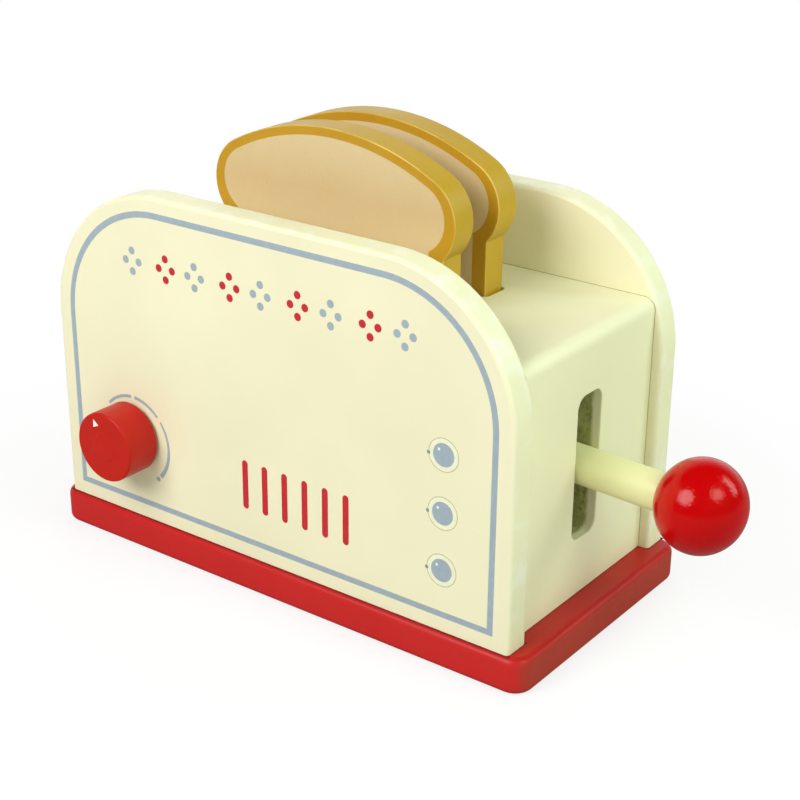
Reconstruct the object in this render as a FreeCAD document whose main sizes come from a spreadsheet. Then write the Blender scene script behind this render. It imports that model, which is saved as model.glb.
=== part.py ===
"""Wooden toy toaster: a box of painted boards between two arched panels on a red base board.

Inside, a lift block slides on two upright dowels and rests on two coil springs. It carries both
slices of toast and the ball lever, which reaches out through a slot in the right-hand end. A round
knob turns on a wooden axle in the front panel.

Row frame in millimetres: origin on the base board's underside, below the middle of the box, +X towards
the lever, -Y towards the front panel, +Z up. Every size is a cell of the sheet "Sizes", and every feature and
placement is tied to those cells by expressions.
"""
import FreeCAD
import Part
import Sketcher
import math
import os
import re

from FreeCAD import Placement, Rotation, Vector

doc = FreeCAD.newDocument("ToyToaster")

# ---------------------------------------------------------------------------
# Driving dimensions
# ---------------------------------------------------------------------------
DIMENSIONS = {
    # base board
    "base_thickness": 15.0,
    "base_left_margin": 5.0,
    "base_right_margin": 7.4,
    "base_front_margin": 2.0,
    "base_rear_margin": 1.2,
    "base_corner_radius": 8.0,
    "base_edge_round": 3.0,
    # arched front and rear panels
    "panel_length": 225.0,
    "panel_height": 140.4,
    "panel_thickness": 12.0,
    "panel_corner_radius": 57.5,
    "panel_edge_round": 1.8,
    # box between the panels
    "box_end_inset": 4.5,
    "box_width": 91.0,
    "box_height": 106.4,
    "board_thickness": 12.0,
    "box_end_round": 5.0,
    "slot_edge_round": 0.5,
    # slices of toast
    "slice_thickness": 12.0,
    "slice_spacing": 28.5,
    "slice_shift": 1.5,
    "slice_height": 108.0,
    "slice_body_width": 106.0,
    "slice_overhang": 5.2,
    "slice_side_radius": 18.5,
    "slice_crown_radius": 103.2,
    "slice_foot_radius": 4.0,
    "slice_neck_radius": 1.0,
    "slice_edge_round": 0.6,
    "toast_slot_end_clearance": 1.25,
    "toast_slot_side_clearance": 1.3,
    "toast_slot_corner": 3.0,
    # lift block
    "block_thickness": 22.0,
    "block_end_wall": 4.7,
    "block_side_wall": 4.5,
    "block_corner_radius": 4.0,
    "groove_depth": 5.0,
    "groove_clearance": 0.3,
    # lever
    "rod_diameter": 15.0,
    "rod_droop": 2.4,
    "rod_rest_height": 52.9,
    "rod_in_block": 25.0,
    "rod_end_chamfer": 0.8,
    "ball_diameter": 36.0,
    "ball_length": 34.0,
    "ball_reach": 47.6,
    "ball_bore_depth": 15.0,
    "ball_mouth_chamfer": 0.5,
    "lever_down_travel": 21.5,
    "lever_up_travel": 21.5,
    "lever_end_clearance": 0.4,
    "lever_side_clearance": 1.0,
    "lever_slot_corner": 5.0,
    # guide dowels, springs and washers under the lift block
    "guide_diameter": 8.0,
    "left_guide_from_end": 22.0,
    "right_guide_from_end": 44.0,
    "guide_socket_depth": 6.0,
    "guide_clearance": 0.3,
    "guide_end_chamfer": 0.8,
    "spring_wire": 0.7,
    "spring_gap": 1.6,
    "spring_turns": 5.5,
    "washer_diameter": 16.0,
    "washer_thickness": 1.0,
    "washer_clearance": 0.4,
    # knob on the front panel
    "knob_diameter": 29.6,
    "knob_length": 15.2,
    "knob_front_round": 0.9,
    "knob_from_panel_end": 39.2,
    "knob_height": 36.3,
    "knob_gap": 1.5,
    "axle_diameter": 8.0,
    "axle_clearance": 0.1,
    "axle_recess": 0.2,
    "spacer_diameter": 14.0,
    "collar_diameter": 18.0,
    "collar_thickness": 6.0,
    "collar_gap": 0.5,
    # dowel joints of the box, glued
    "glue_clearance": 0.05,
    "joint_dowel_diameter": 6.0,
    "joint_dowel_chamfer": 0.6,
    "panel_dowel_in_panel": 8.0,
    "panel_dowel_in_board": 16.0,
    "panel_dowel_low": 18.0,
    "panel_dowel_high": 76.0,
    "top_dowel_in_top": 7.0,
    "top_dowel_in_end": 15.0,
    "top_dowel_spacing": 48.0,
    # countersunk wood screws
    "screw_diameter": 3.5,
    "screw_length": 30.0,
    "screw_head_diameter": 7.0,
    "screw_head_height": 2.2,
    "screw_tip_length": 4.0,
    "screw_recess": 0.5,
    "panel_screw_spacing": 160.0,
    "end_screw_spacing": 36.0,
    "lever_screw_length": 14.0,
    "lever_screw_from_end": 13.0,
}

sheet = doc.addObject("Spreadsheet::Sheet", "Sizes")
for row, (alias, number) in enumerate(DIMENSIONS.items(), start=1):
    sheet.set(f"A{row}", alias)
    sheet.set(f"B{row}", str(number))
    sheet.setAlias(f"B{row}", alias)
doc.recompute()


def in_sheet(formula):
    """The formula with each alias written as a cell of the sheet. Every alias has an underscore."""
    return re.sub(r"\b([a-z]+(?:_[a-z]+)+)\b", r"Sizes.\1", str(formula))


def value(formula):
    """What a formula in the sheet's aliases comes to, in millimetres or degrees."""
    return float(sheet.evalExpression(in_sheet(formula)))


def tie(thing, prop, formula):
    """Binds a property to a formula in the sheet's aliases."""
    thing.setExpression(prop, in_sheet(formula))


def place(thing, x="0", y="0", z="0", axis=None, angle="0"):
    """Gives an object its place, tied to the sheet, and a turn about an axis where it needs one."""
    if axis is not None:
        thing.Placement = Placement(Vector(), Rotation(Vector(*axis), value(angle)))
        if re.search("[a-z]", angle):
            tie(thing, "Placement.Rotation.Angle", angle)
    for letter, formula in zip("xyz", (x, y, z)):
        tie(thing, f"Placement.Base.{letter}", formula)


# ---------------------------------------------------------------------------
# Heights and places that several pieces share, as formulas
# ---------------------------------------------------------------------------
BASE_TOP = "base_thickness"
BOX_TOP = f"({BASE_TOP} + box_height)"
BOX_CEILING = f"({BOX_TOP} - board_thickness)"
BOX_LENGTH = "(panel_length - 2 * box_end_inset)"
END_BOARD_MIDDLE = f"({BOX_LENGTH} / 2 - board_thickness / 2)"
PANEL_MIDDLE = "(box_width / 2 + panel_thickness / 2)"
PANEL_FACE = "(box_width / 2 + panel_thickness)"

BLOCK_LENGTH = "(slice_body_width + 2 * groove_clearance + 2 * block_end_wall)"
BLOCK_WIDTH = "(slice_spacing + slice_thickness + 2 * groove_clearance + 2 * block_side_wall)"
ROD_AT_FACE = f"({BASE_TOP} + rod_rest_height)"
BLOCK_TO_FACE = f"(({BOX_LENGTH} - {BLOCK_LENGTH}) / 2)"
BLOCK_MIDDLE = f"({ROD_AT_FACE} + {BLOCK_TO_FACE} * tan(rod_droop))"
BLOCK_UNDERSIDE = f"({BLOCK_MIDDLE} - block_thickness / 2)"
BLOCK_TOP = f"({BLOCK_MIDDLE} + block_thickness / 2)"
SLICE_FOOT = f"({BLOCK_TOP} - groove_depth)"

# along the lever's axis, counted outwards from the end board's outer face
ROD_START = f"(-{BLOCK_TO_FACE} / cos(rod_droop) - rod_in_block)"
ROD_END = "(ball_reach - ball_length / 2 + ball_bore_depth)"

KNOB_PLACE = "(-panel_length / 2 + knob_from_panel_end)"
KNOB_HEIGHT = f"({BASE_TOP} + knob_height)"
# along the knob's axis, counted outwards from the panel's face
COLLAR_START = "(-panel_thickness - collar_gap - collar_thickness)"
KNOB_FACE = "(knob_gap + knob_length)"


# ---------------------------------------------------------------------------
# Sketches and features that more than one piece uses
# ---------------------------------------------------------------------------
def new_body(name):
    body = doc.addObject("PartDesign::Body", name)
    body.Label = name
    return body


def new_sketch(body, name, plane, offset="0"):
    """A sketch on one of the body's own origin planes, moved along its normal by the offset."""
    sketch = body.newObject("Sketcher::SketchObject", f"{body.Name}_{name}")
    support = next(feature for feature in body.Origin.OriginFeatures if feature.Role == plane)
    sketch.AttachmentSupport = [(support, "")]
    sketch.MapMode = "FlatFace"
    tie(sketch, "AttachmentOffset.Base.z", offset)
    return sketch


def dimension(sketch, name, formula, kind, *points):
    """A named dimension of a sketch, tied to the sheet."""
    index = sketch.addConstraint(Sketcher.Constraint(kind, *points, value(formula)))
    sketch.renameConstraint(index, name)
    tie(sketch, f"Constraints.{name}", formula)


def close_up(sketch, count, kinds):
    """Joins neighbours of a closed outline end to start, as corners or as tangent ends."""
    for index in range(count):
        following = (index + 1) % count
        sketch.addConstraint(Sketcher.Constraint(kinds[index], index, 2, following, 1))


def draw_rectangle(sketch, width, height, x="0", y="0"):
    """A rectangle with its centre at x, y, added after whatever the sketch holds already."""
    first = sketch.GeometryCount
    half_w = value(width) / 2
    half_h = value(height) / 2
    middle = Vector(value(x), value(y))
    corners = [
        middle + Vector(sign_x * half_w, sign_y * half_h)
        for sign_x, sign_y in ((-1, -1), (1, -1), (1, 1), (-1, 1))
    ]
    for side in range(4):
        sketch.addGeometry(Part.LineSegment(corners[side], corners[(side + 1) % 4]))
    for side in range(4):
        following = first + (side + 1) % 4
        sketch.addConstraint(Sketcher.Constraint("Coincident", first + side, 2, following, 1))
    for side in (0, 2):
        sketch.addConstraint(Sketcher.Constraint("Horizontal", first + side))
    for side in (1, 3):
        sketch.addConstraint(Sketcher.Constraint("Vertical", first + side))
    name = f"box{first}"
    dimension(sketch, f"{name}_width", width, "DistanceX", first, 1, first, 2)
    dimension(sketch, f"{name}_height", height, "DistanceY", first + 1, 1, first + 1, 2)
    dimension(sketch, f"{name}_left", f"{x} - {width} / 2", "DistanceX", -1, 1, first, 1)
    dimension(sketch, f"{name}_low", f"{y} - {height} / 2", "DistanceY", -1, 1, first, 1)


def pad(body, sketch, length, reversed_way=False, symmetric=False):
    feature = body.newObject("PartDesign::Pad", f"{sketch.Name}_pad")
    feature.Profile = sketch
    feature.Type = "Length"
    tie(feature, "Length", length)
    feature.Reversed = reversed_way
    if symmetric:
        feature.SideType = "Symmetric"
    doc.recompute()
    return feature


def pocket(body, sketch, depth, reversed_way=False):
    """Cuts a sketch's outline into the body and makes sure that it took something away."""
    before = body.Shape.Volume
    feature = body.newObject("PartDesign::Pocket", f"{sketch.Name}_pocket")
    feature.Profile = sketch
    feature.Type = "Length"
    tie(feature, "Length", depth)
    feature.Reversed = reversed_way
    doc.recompute()
    if not body.Shape.Volume < before:
        raise ValueError(f"{feature.Name} cuts nothing")
    return feature


# edges count as lying in a plane when they are this close to it
NEAR = 1e-3


def edges_of(body, *tests):
    """Names of the edges of the body's last feature that pass every test."""
    found = enumerate(body.Tip.Shape.Edges, start=1)
    return [f"Edge{number}" for number, edge in found if all(test(edge) for test in tests)]


def soften(body, name, edge_names, size, kind="Fillet"):
    """Rounds or chamfers edges of the body's last feature."""
    previous = body.Tip
    feature = body.newObject(f"PartDesign::{kind}", f"{body.Name}_{name}")
    feature.Base = (previous, edge_names)
    tie(feature, "Radius" if kind == "Fillet" else "Size", size)
    doc.recompute()
    return feature


def reach_of(edge, letter):
    """The lowest and highest place of an edge along X, Y or Z."""
    box = edge.BoundBox
    return getattr(box, f"{letter}Min"), getattr(box, f"{letter}Max")


def runs_along(letter):
    """A test for straight edges along X, Y or Z."""
    others = [axis for axis in "XYZ" if axis != letter]

    def test(edge):
        reaches = [reach_of(edge, axis) for axis in others]
        return all(high - low < NEAR for low, high in reaches)

    return test


def lies_at(letter, *places):
    """A test for edges that lie in one of the planes across X, Y or Z."""

    def test(edge):
        low, high = reach_of(edge, letter)
        return high - low < NEAR and any(abs(low - place) < NEAR for place in places)

    return test


def lies_within(letter, limit):
    """A test for edges that stay within a limit on both sides of the middle, along X, Y or Z."""

    def test(edge):
        low, high = reach_of(edge, letter)
        return max(-low, high) < limit + NEAR

    return test


def turned(name, profile):
    """A body turned about its own Z axis from a half outline of radius and height formulas."""
    body = new_body(name)
    sketch = new_sketch(body, "outline", "XZ_Plane")
    points = [Vector(value(radius), value(height)) for radius, height in profile]
    count = len(points)
    for index in range(count):
        sketch.addGeometry(Part.LineSegment(points[index], points[(index + 1) % count]))
    close_up(sketch, count, ["Coincident"] * count)
    for index, (radius, height) in enumerate(profile):
        if radius == "0":
            sketch.addConstraint(Sketcher.Constraint("PointOnObject", index, 1, -2))
        else:
            dimension(sketch, f"radius{index}", radius, "DistanceX", -1, 1, index, 1)
        if height == "0":
            sketch.addConstraint(Sketcher.Constraint("PointOnObject", index, 1, -1))
        else:
            dimension(sketch, f"height{index}", height, "DistanceY", -1, 1, index, 1)
    feature = body.newObject("PartDesign::Revolution", f"{name}_turn")
    feature.Profile = sketch
    feature.ReferenceAxis = (sketch, ["V_Axis"])
    feature.Angle = 360
    doc.recompute()
    return body


def drill(name, diameter, length):
    """The space that a drill takes out: a cylinder up its own Z axis."""
    tool = doc.addObject("Part::Cylinder", name)
    tie(tool, "Radius", f"({diameter}) / 2")
    tie(tool, "Height", length)
    return tool


def dowel(name, diameter, length, chamfer):
    """A wooden dowel up its own Z axis, with both ends chamfered."""
    edge = f"({diameter} / 2 - {chamfer})"
    profile = [
        ("0", "0"),
        (edge, "0"),
        (f"{diameter} / 2", chamfer),
        (f"{diameter} / 2", f"{length} - {chamfer}"),
        (edge, length),
        ("0", length),
    ]
    return turned(name, profile)


def group(label, members):
    """Separate pieces that share one node."""
    together = doc.addObject("Part::Compound", label)
    together.Label = label
    together.Links = members
    return together


def cut(label, blank, tools):
    """A blank with its drilled holes."""
    drilled = doc.addObject("Part::Cut", label)
    drilled.Label = label
    drilled.Base = blank
    drilled.Tool = group(f"{label}_drills", tools)
    doc.recompute()
    if not drilled.Shape.Volume < blank.Shape.Volume:
        raise ValueError(f"the drills miss {label}")
    return drilled


# ---------------------------------------------------------------------------
# Dowels and screws that hold the boards, with the drills for their holes
# ---------------------------------------------------------------------------
def signed(sign, formula):
    return f"{sign} * {formula}"


def corner_name(side_x, side_y):
    return f"{'right' if side_x > 0 else 'left'}_{'rear' if side_y > 0 else 'front'}"


def panel_joint(kind, side_x, side_y, height):
    """A dowel, or its drill, that lies across the joint of a panel and an end board."""
    name = f"{kind}_{corner_name(side_x, side_y)}_{height}"
    length = "(panel_dowel_in_board + panel_dowel_in_panel)"
    if kind == "drill":
        piece = drill(name, "joint_dowel_diameter + 2 * glue_clearance", length)
    else:
        piece = dowel(name, "joint_dowel_diameter", length, "joint_dowel_chamfer")
    start = "(box_width / 2 - panel_dowel_in_board)"
    # turned about X so that its own Z axis points outwards through the joint
    place(
        piece,
        x=signed(side_x, END_BOARD_MIDDLE),
        y=signed(side_y, start),
        z=f"{BASE_TOP} + {height}",
        axis=(1, 0, 0),
        angle=str(-90 * side_y),
    )
    return piece


def top_joint(kind, side_x, side_y):
    """A dowel, or its drill, that stands in the joint of the top board and an end board."""
    name = f"top_{kind}_{corner_name(side_x, side_y)}"
    length = "(top_dowel_in_end + top_dowel_in_top)"
    if kind == "drill":
        piece = drill(name, "joint_dowel_diameter + 2 * glue_clearance", length)
    else:
        piece = dowel(name, "joint_dowel_diameter", length, "joint_dowel_chamfer")
    place(
        piece,
        x=signed(side_x, END_BOARD_MIDDLE),
        y=signed(side_y, "top_dowel_spacing / 2"),
        z=f"{BOX_CEILING} - top_dowel_in_end",
    )
    return piece


def wood_screw(name, length, room="0"):
    """A countersunk wood screw with its head down, or with room round it the hole that it needs."""
    head = f"(screw_head_diameter / 2 + {room})"
    shank = f"(screw_diameter / 2 + {room})"
    profile = [
        ("0", "0"),
        (head, "0"),
        (shank, "screw_head_height"),
        (shank, f"{length} - screw_tip_length"),
        ("0", length),
    ]
    return turned(name, profile)


def counterbore(name):
    """The space that lets a screw's head sit below the surface."""
    return drill(name, "screw_head_diameter + 2 * glue_clearance", "screw_recess")


def screw_place(board, side_x, side_y):
    """Where a base screw stands under a panel or under an end board."""
    if board == "panel":
        return signed(side_x, "panel_screw_spacing / 2"), signed(side_y, PANEL_MIDDLE)
    return signed(side_x, END_BOARD_MIDDLE), signed(side_y, "end_screw_spacing / 2")


SIDES = [(side_x, side_y) for side_x in (-1, 1) for side_y in (-1, 1)]
DOWEL_HEIGHTS = ("panel_dowel_low", "panel_dowel_high")

panel_dowel_list = []
panel_drills = {}
for side_x, side_y in SIDES:
    for height in DOWEL_HEIGHTS:
        panel_dowel_list.append(panel_joint("dowel", side_x, side_y, height))
        panel_drills[side_x, side_y, height] = panel_joint("drill", side_x, side_y, height)
top_dowel_list = [top_joint("dowel", *side) for side in SIDES]
top_drills = {side: top_joint("drill", *side) for side in SIDES}

base_screw_list = []
screw_holes = {}
counterbores = []
for board in ("panel", "end_board"):
    for side_x, side_y in SIDES:
        corner = f"{board}_{corner_name(side_x, side_y)}"
        screw_x, screw_y = screw_place(board, side_x, side_y)
        screw = wood_screw(f"screw_{corner}", "screw_length")
        hole = wood_screw(f"screw_hole_{corner}", "screw_length", "glue_clearance")
        for piece in (screw, hole):
            place(piece, x=screw_x, y=screw_y, z="screw_recess")
        recess = counterbore(f"counterbore_{corner}")
        place(recess, x=screw_x, y=screw_y)
        base_screw_list.append(screw)
        screw_holes[board, side_x, side_y] = hole
        counterbores.append(recess)

panel_dowels = group("panel_dowels", panel_dowel_list)
top_board_dowels = group("top_board_dowels", top_dowel_list)
base_screws = group("base_screws", base_screw_list)


# ---------------------------------------------------------------------------
# Guide dowels for the lift block, with springs and washers
# ---------------------------------------------------------------------------
# both guides keep their distance from the ends of the lift block that runs on them
GUIDES = {
    "left": f"(left_guide_from_end - {BLOCK_LENGTH} / 2)",
    "right": f"({BLOCK_LENGTH} / 2 - right_guide_from_end)",
}
GUIDE_LENGTH = f"({BOX_CEILING} - {BASE_TOP} + 2 * guide_socket_depth)"
SPRING_HEIGHT = f"({BLOCK_UNDERSIDE} - washer_thickness - {BASE_TOP})"
COIL_RADIUS = "(guide_diameter / 2 + spring_gap + spring_wire / 2)"
COIL_RISE = f"({SPRING_HEIGHT} - spring_wire)"
WIRE_SIDES = 8
# from the middle of the section to its corners, so that its flats lie half a wire from the middle
WIRE_CORNER = f"(spring_wire / 2 / cos({180 / WIRE_SIDES}))"


def draw_wire_section(sketch, x, y):
    """The wire's section, drawn with eight sides so that the long thin coil stays light to mesh."""
    centre = Vector(value(x), value(y))
    radius = value(WIRE_CORNER)
    corners = []
    for index in range(WIRE_SIDES):
        angle = (index + 0.5) * 2 * math.pi / WIRE_SIDES
        corners.append(centre + Vector(radius * math.cos(angle), radius * math.sin(angle)))
    for index in range(WIRE_SIDES):
        sketch.addGeometry(Part.LineSegment(corners[index], corners[(index + 1) % WIRE_SIDES]))
    close_up(sketch, WIRE_SIDES, ["Coincident"] * WIRE_SIDES)
    ring = sketch.addGeometry(Part.Circle(centre, Vector(0, 0, 1), radius), True)
    for index in range(WIRE_SIDES):
        sketch.addConstraint(Sketcher.Constraint("PointOnObject", index, 1, ring))
    for index in range(1, WIRE_SIDES):
        sketch.addConstraint(Sketcher.Constraint("Equal", 0, index))
    sketch.addConstraint(Sketcher.Constraint("Horizontal", 1))
    dimension(sketch, "corner_radius", WIRE_CORNER, "Radius", ring)
    dimension(sketch, "reach", x, "DistanceX", -1, 1, ring, 3)
    dimension(sketch, "height", y, "DistanceY", -1, 1, ring, 3)


def flat_end(body, sketch, reversed_way):
    """The last half turn of the coil, closed flat so that the spring stands square."""
    feature = body.newObject("PartDesign::Revolution", f"{sketch.Name}_half_turn")
    feature.Profile = sketch
    feature.ReferenceAxis = (sketch, ["V_Axis"])
    feature.Angle = 180
    feature.Reversed = reversed_way
    doc.recompute()


def coil_spring(label, guide_x):
    """A compression spring: a rising coil between two flat half turns, round its own Z axis."""
    body = new_body(label)
    foot = new_sketch(body, "foot_section", "XZ_Plane")
    draw_wire_section(foot, COIL_RADIUS, "spring_wire / 2")
    coil = body.newObject("PartDesign::AdditiveHelix", f"{label}_coil")
    coil.Profile = foot
    coil.ReferenceAxis = (foot, ["V_Axis"])
    coil.Mode = "height-turns-angle"
    tie(coil, "Height", COIL_RISE)
    tie(coil, "Turns", "spring_turns")
    doc.recompute()
    flat_end(body, foot, True)
    head = new_sketch(body, "head_section", "XZ_Plane")
    # after a whole number of turns and a half the wire stands on the other side of the axis
    draw_wire_section(head, f"-{COIL_RADIUS}", f"{SPRING_HEIGHT} - spring_wire / 2")
    flat_end(body, head, False)
    place(body, x=guide_x, z=BASE_TOP)
    return body


guide_dowels = {}
guide_sockets = {}
springs = {}
washers = []
for side, guide_x in GUIDES.items():
    guide_dowels[side] = dowel(f"{side}_guide_dowel", "guide_diameter", GUIDE_LENGTH, "guide_end_chamfer")
    socket = drill(f"{side}_guide_socket", "guide_diameter + 2 * glue_clearance", GUIDE_LENGTH)
    guide_sockets[side] = socket
    for piece in (guide_dowels[side], socket):
        place(piece, x=guide_x, z=f"{BASE_TOP} - guide_socket_depth")
    springs[side] = coil_spring(f"{side}_spring", guide_x)
    bore = "(guide_diameter / 2 + washer_clearance)"
    rim = "washer_diameter / 2"
    ring = [(bore, "0"), (rim, "0"), (rim, "washer_thickness"), (bore, "washer_thickness")]
    washer = turned(f"{side}_spring_washer", ring)
    place(washer, x=guide_x, z=f"{BLOCK_UNDERSIDE} - washer_thickness")
    washers.append(washer)
spring_washers = group("spring_washers", washers)


# ---------------------------------------------------------------------------
# Base board
# ---------------------------------------------------------------------------
def make_base_board():
    """The board under everything, with its own margin beyond the panels on each side."""
    body = new_body("base_board_blank")
    sketch = new_sketch(body, "outline", "XY_Plane")
    length = "(panel_length + base_left_margin + base_right_margin)"
    width = f"(2 * {PANEL_FACE} + base_front_margin + base_rear_margin)"
    middle_x = "(base_right_margin - base_left_margin) / 2"
    middle_y = "(base_rear_margin - base_front_margin) / 2"
    draw_rectangle(sketch, length, width, x=middle_x, y=middle_y)
    pad(body, sketch, "base_thickness")
    soften(body, "corners", edges_of(body, runs_along("Z")), "base_corner_radius")
    rims = edges_of(body, lies_at("Z", 0, value("base_thickness")))
    soften(body, "rims", rims, "base_edge_round")
    return cut("base_board", body, [*screw_holes.values(), *counterbores, *guide_sockets.values()])


base_board = make_base_board()


# ---------------------------------------------------------------------------
# Arched panels
# ---------------------------------------------------------------------------
def draw_arch(sketch):
    """Panel outline: flat foot, upright sides, large round shoulders and a flat top."""
    half = value("panel_length / 2")
    height = value("panel_height")
    radius = value("panel_corner_radius")
    shoulder = height - radius
    reach = half - radius
    up = Vector(0, 0, 1)
    right = Part.Circle(Vector(reach, shoulder), up, radius)
    left = Part.Circle(Vector(-reach, shoulder), up, radius)
    sketch.addGeometry(Part.LineSegment(Vector(-half, 0), Vector(half, 0)))
    sketch.addGeometry(Part.LineSegment(Vector(half, 0), Vector(half, shoulder)))
    sketch.addGeometry(Part.ArcOfCircle(right, 0, math.pi / 2))
    sketch.addGeometry(Part.LineSegment(Vector(reach, height), Vector(-reach, height)))
    sketch.addGeometry(Part.ArcOfCircle(left, math.pi / 2, math.pi))
    sketch.addGeometry(Part.LineSegment(Vector(-half, shoulder), Vector(-half, 0)))
    close_up(sketch, 6, ["Coincident", "Tangent", "Tangent", "Tangent", "Tangent", "Coincident"])
    sketch.addConstraint(Sketcher.Constraint("Horizontal", 0))
    sketch.addConstraint(Sketcher.Constraint("Vertical", 1))
    sketch.addConstraint(Sketcher.Constraint("Horizontal", 3))
    sketch.addConstraint(Sketcher.Constraint("Vertical", 5))
    sketch.addConstraint(Sketcher.Constraint("Equal", 2, 4))
    sketch.addConstraint(Sketcher.Constraint("Symmetric", 0, 1, 0, 2, -1, 1))
    dimension(sketch, "length", "panel_length", "DistanceX", 0, 1, 0, 2)
    dimension(sketch, "radius", "panel_corner_radius", "Radius", 2)
    dimension(sketch, "height", "panel_height", "DistanceY", 0, 2, 3, 1)


def above_foot(edge):
    """A test for edges that reach above the plane that the panels stand on."""
    return reach_of(edge, "Z")[1] > NEAR


def make_panel(label, side_y, extra_drills):
    """An arched panel, rounded all along its arch and left sharp at its foot."""
    body = new_body(f"{label}_blank")
    sketch = new_sketch(body, "outline", "XZ_Plane")
    draw_arch(sketch)
    pad(body, sketch, "panel_thickness", symmetric=True)
    half = value("panel_thickness / 2")
    soften(body, "rims", edges_of(body, lies_at("Y", -half, half), above_foot), "panel_edge_round")
    place(body, y=signed(side_y, PANEL_MIDDLE), z=BASE_TOP)
    drills = [tool for (_, side, _), tool in panel_drills.items() if side == side_y]
    screws = [screw_holes["panel", side_x, side_y] for side_x in (-1, 1)]
    return cut(label, body, [*drills, *screws, *extra_drills])


# the drill starts one thickness inside the panel and ends one thickness outside it
axle_bore = drill("axle_bore", "axle_diameter + 2 * axle_clearance", "3 * panel_thickness")
place(
    axle_bore,
    x=KNOB_PLACE,
    y=f"-{PANEL_FACE} + 2 * panel_thickness",
    z=KNOB_HEIGHT,
    axis=(1, 0, 0),
    angle="90",
)
front_panel = make_panel("front_panel", -1, [axle_bore])
rear_panel = make_panel("rear_panel", 1, [])


# ---------------------------------------------------------------------------
# End boards and top board of the box
# ---------------------------------------------------------------------------
LEVER_SLOT_WIDTH = "(rod_diameter + 2 * lever_side_clearance)"
ROD_HALF_HEIGHT = "(rod_diameter / 2 / cos(rod_droop))"
LEVER_SLOT_LOW = f"({ROD_AT_FACE} - {ROD_HALF_HEIGHT} - lever_down_travel - lever_end_clearance)"
ROD_AT_INSIDE = f"({ROD_AT_FACE} + board_thickness * tan(rod_droop))"
LEVER_SLOT_HIGH = f"({ROD_AT_INSIDE} + {ROD_HALF_HEIGHT} + lever_up_travel + lever_end_clearance)"


def end_board_blank(name, side_x):
    body = new_body(name)
    sketch = new_sketch(body, "outline", "XY_Plane")
    draw_rectangle(sketch, "board_thickness", "box_width")
    pad(body, sketch, f"{BOX_CEILING} - {BASE_TOP}")
    place(body, x=signed(side_x, END_BOARD_MIDDLE), z=BASE_TOP)
    return body


def end_board_drills(side_x):
    sides = [tool for (side, _, _), tool in panel_drills.items() if side == side_x]
    tops = [tool for (side, _), tool in top_drills.items() if side == side_x]
    screws = [screw_holes["end_board", side_x, side_y] for side_y in (-1, 1)]
    return [*sides, *tops, *screws]


def cut_lever_slot(body):
    """The upright slot that the lever travels in, rounded at its corners and at its outer edge."""
    sketch = new_sketch(body, "slot", "YZ_Plane", "board_thickness / 2")
    height = f"({LEVER_SLOT_HIGH} - {LEVER_SLOT_LOW})"
    middle = f"(({LEVER_SLOT_HIGH} + {LEVER_SLOT_LOW}) / 2 - {BASE_TOP})"
    draw_rectangle(sketch, LEVER_SLOT_WIDTH, height, y=middle)
    pocket(body, sketch, "board_thickness")
    within_slot = lies_within("Y", value(LEVER_SLOT_WIDTH) / 2)
    corners = edges_of(body, runs_along("X"), within_slot)
    soften(body, "slot_corners", corners, "lever_slot_corner")
    rim = edges_of(body, lies_at("X", value("board_thickness / 2")), within_slot)
    soften(body, "slot_rim", rim, "slot_edge_round")


def make_right_end_board():
    body = end_board_blank("right_end_board_blank", 1)
    cut_lever_slot(body)
    return cut("right_end_board", body, end_board_drills(1))


def make_top_board():
    """Lid of the box, rounded over at both ends, with a slot for each slice."""
    body = new_body("top_board_blank")
    sketch = new_sketch(body, "outline", "XY_Plane")
    draw_rectangle(sketch, BOX_LENGTH, "box_width")
    pad(body, sketch, "board_thickness")
    upper_face = lies_at("Z", value("board_thickness"))
    soften(body, "ends", edges_of(body, runs_along("Y"), upper_face), "box_end_round")
    slots = new_sketch(body, "slots", "XY_Plane", "board_thickness")
    length = "(slice_body_width + 2 * toast_slot_end_clearance)"
    width = "(slice_thickness + 2 * toast_slot_side_clearance)"
    for side_y in (-1, 1):
        draw_rectangle(slots, length, width, "slice_shift", signed(side_y, "slice_spacing / 2"))
    pocket(body, slots, "board_thickness")
    within_slots = lies_within("X", value(f"slice_shift + {length} / 2"))
    corners = edges_of(body, runs_along("Z"), within_slots)
    soften(body, "slot_corners", corners, "toast_slot_corner")
    between_ends = lies_within("Y", value(f"slice_spacing / 2 + {width} / 2"))
    rims = edges_of(body, upper_face, within_slots, between_ends)
    soften(body, "slot_rims", rims, "slot_edge_round")
    place(body, z=BOX_CEILING)
    return cut("top_board", body, [*top_drills.values(), *guide_sockets.values()])


left_end_board = cut("left_end_board", end_board_blank("left_end_board_blank", -1), end_board_drills(-1))
right_end_board = make_right_end_board()
top_board = make_top_board()


# ---------------------------------------------------------------------------
# Lever: rod and ball, and the drills along their common axis
# ---------------------------------------------------------------------------
def on_lever_axis(thing, distance):
    """Sets an object's Z axis along the lever, with its origin that far out from the end board's face."""
    place(
        thing,
        x=f"{BOX_LENGTH} / 2 + {distance} * cos(rod_droop)",
        z=f"{ROD_AT_FACE} - {distance} * sin(rod_droop)",
        axis=(0, 1, 0),
        angle="90 + rod_droop",
    )


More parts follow.
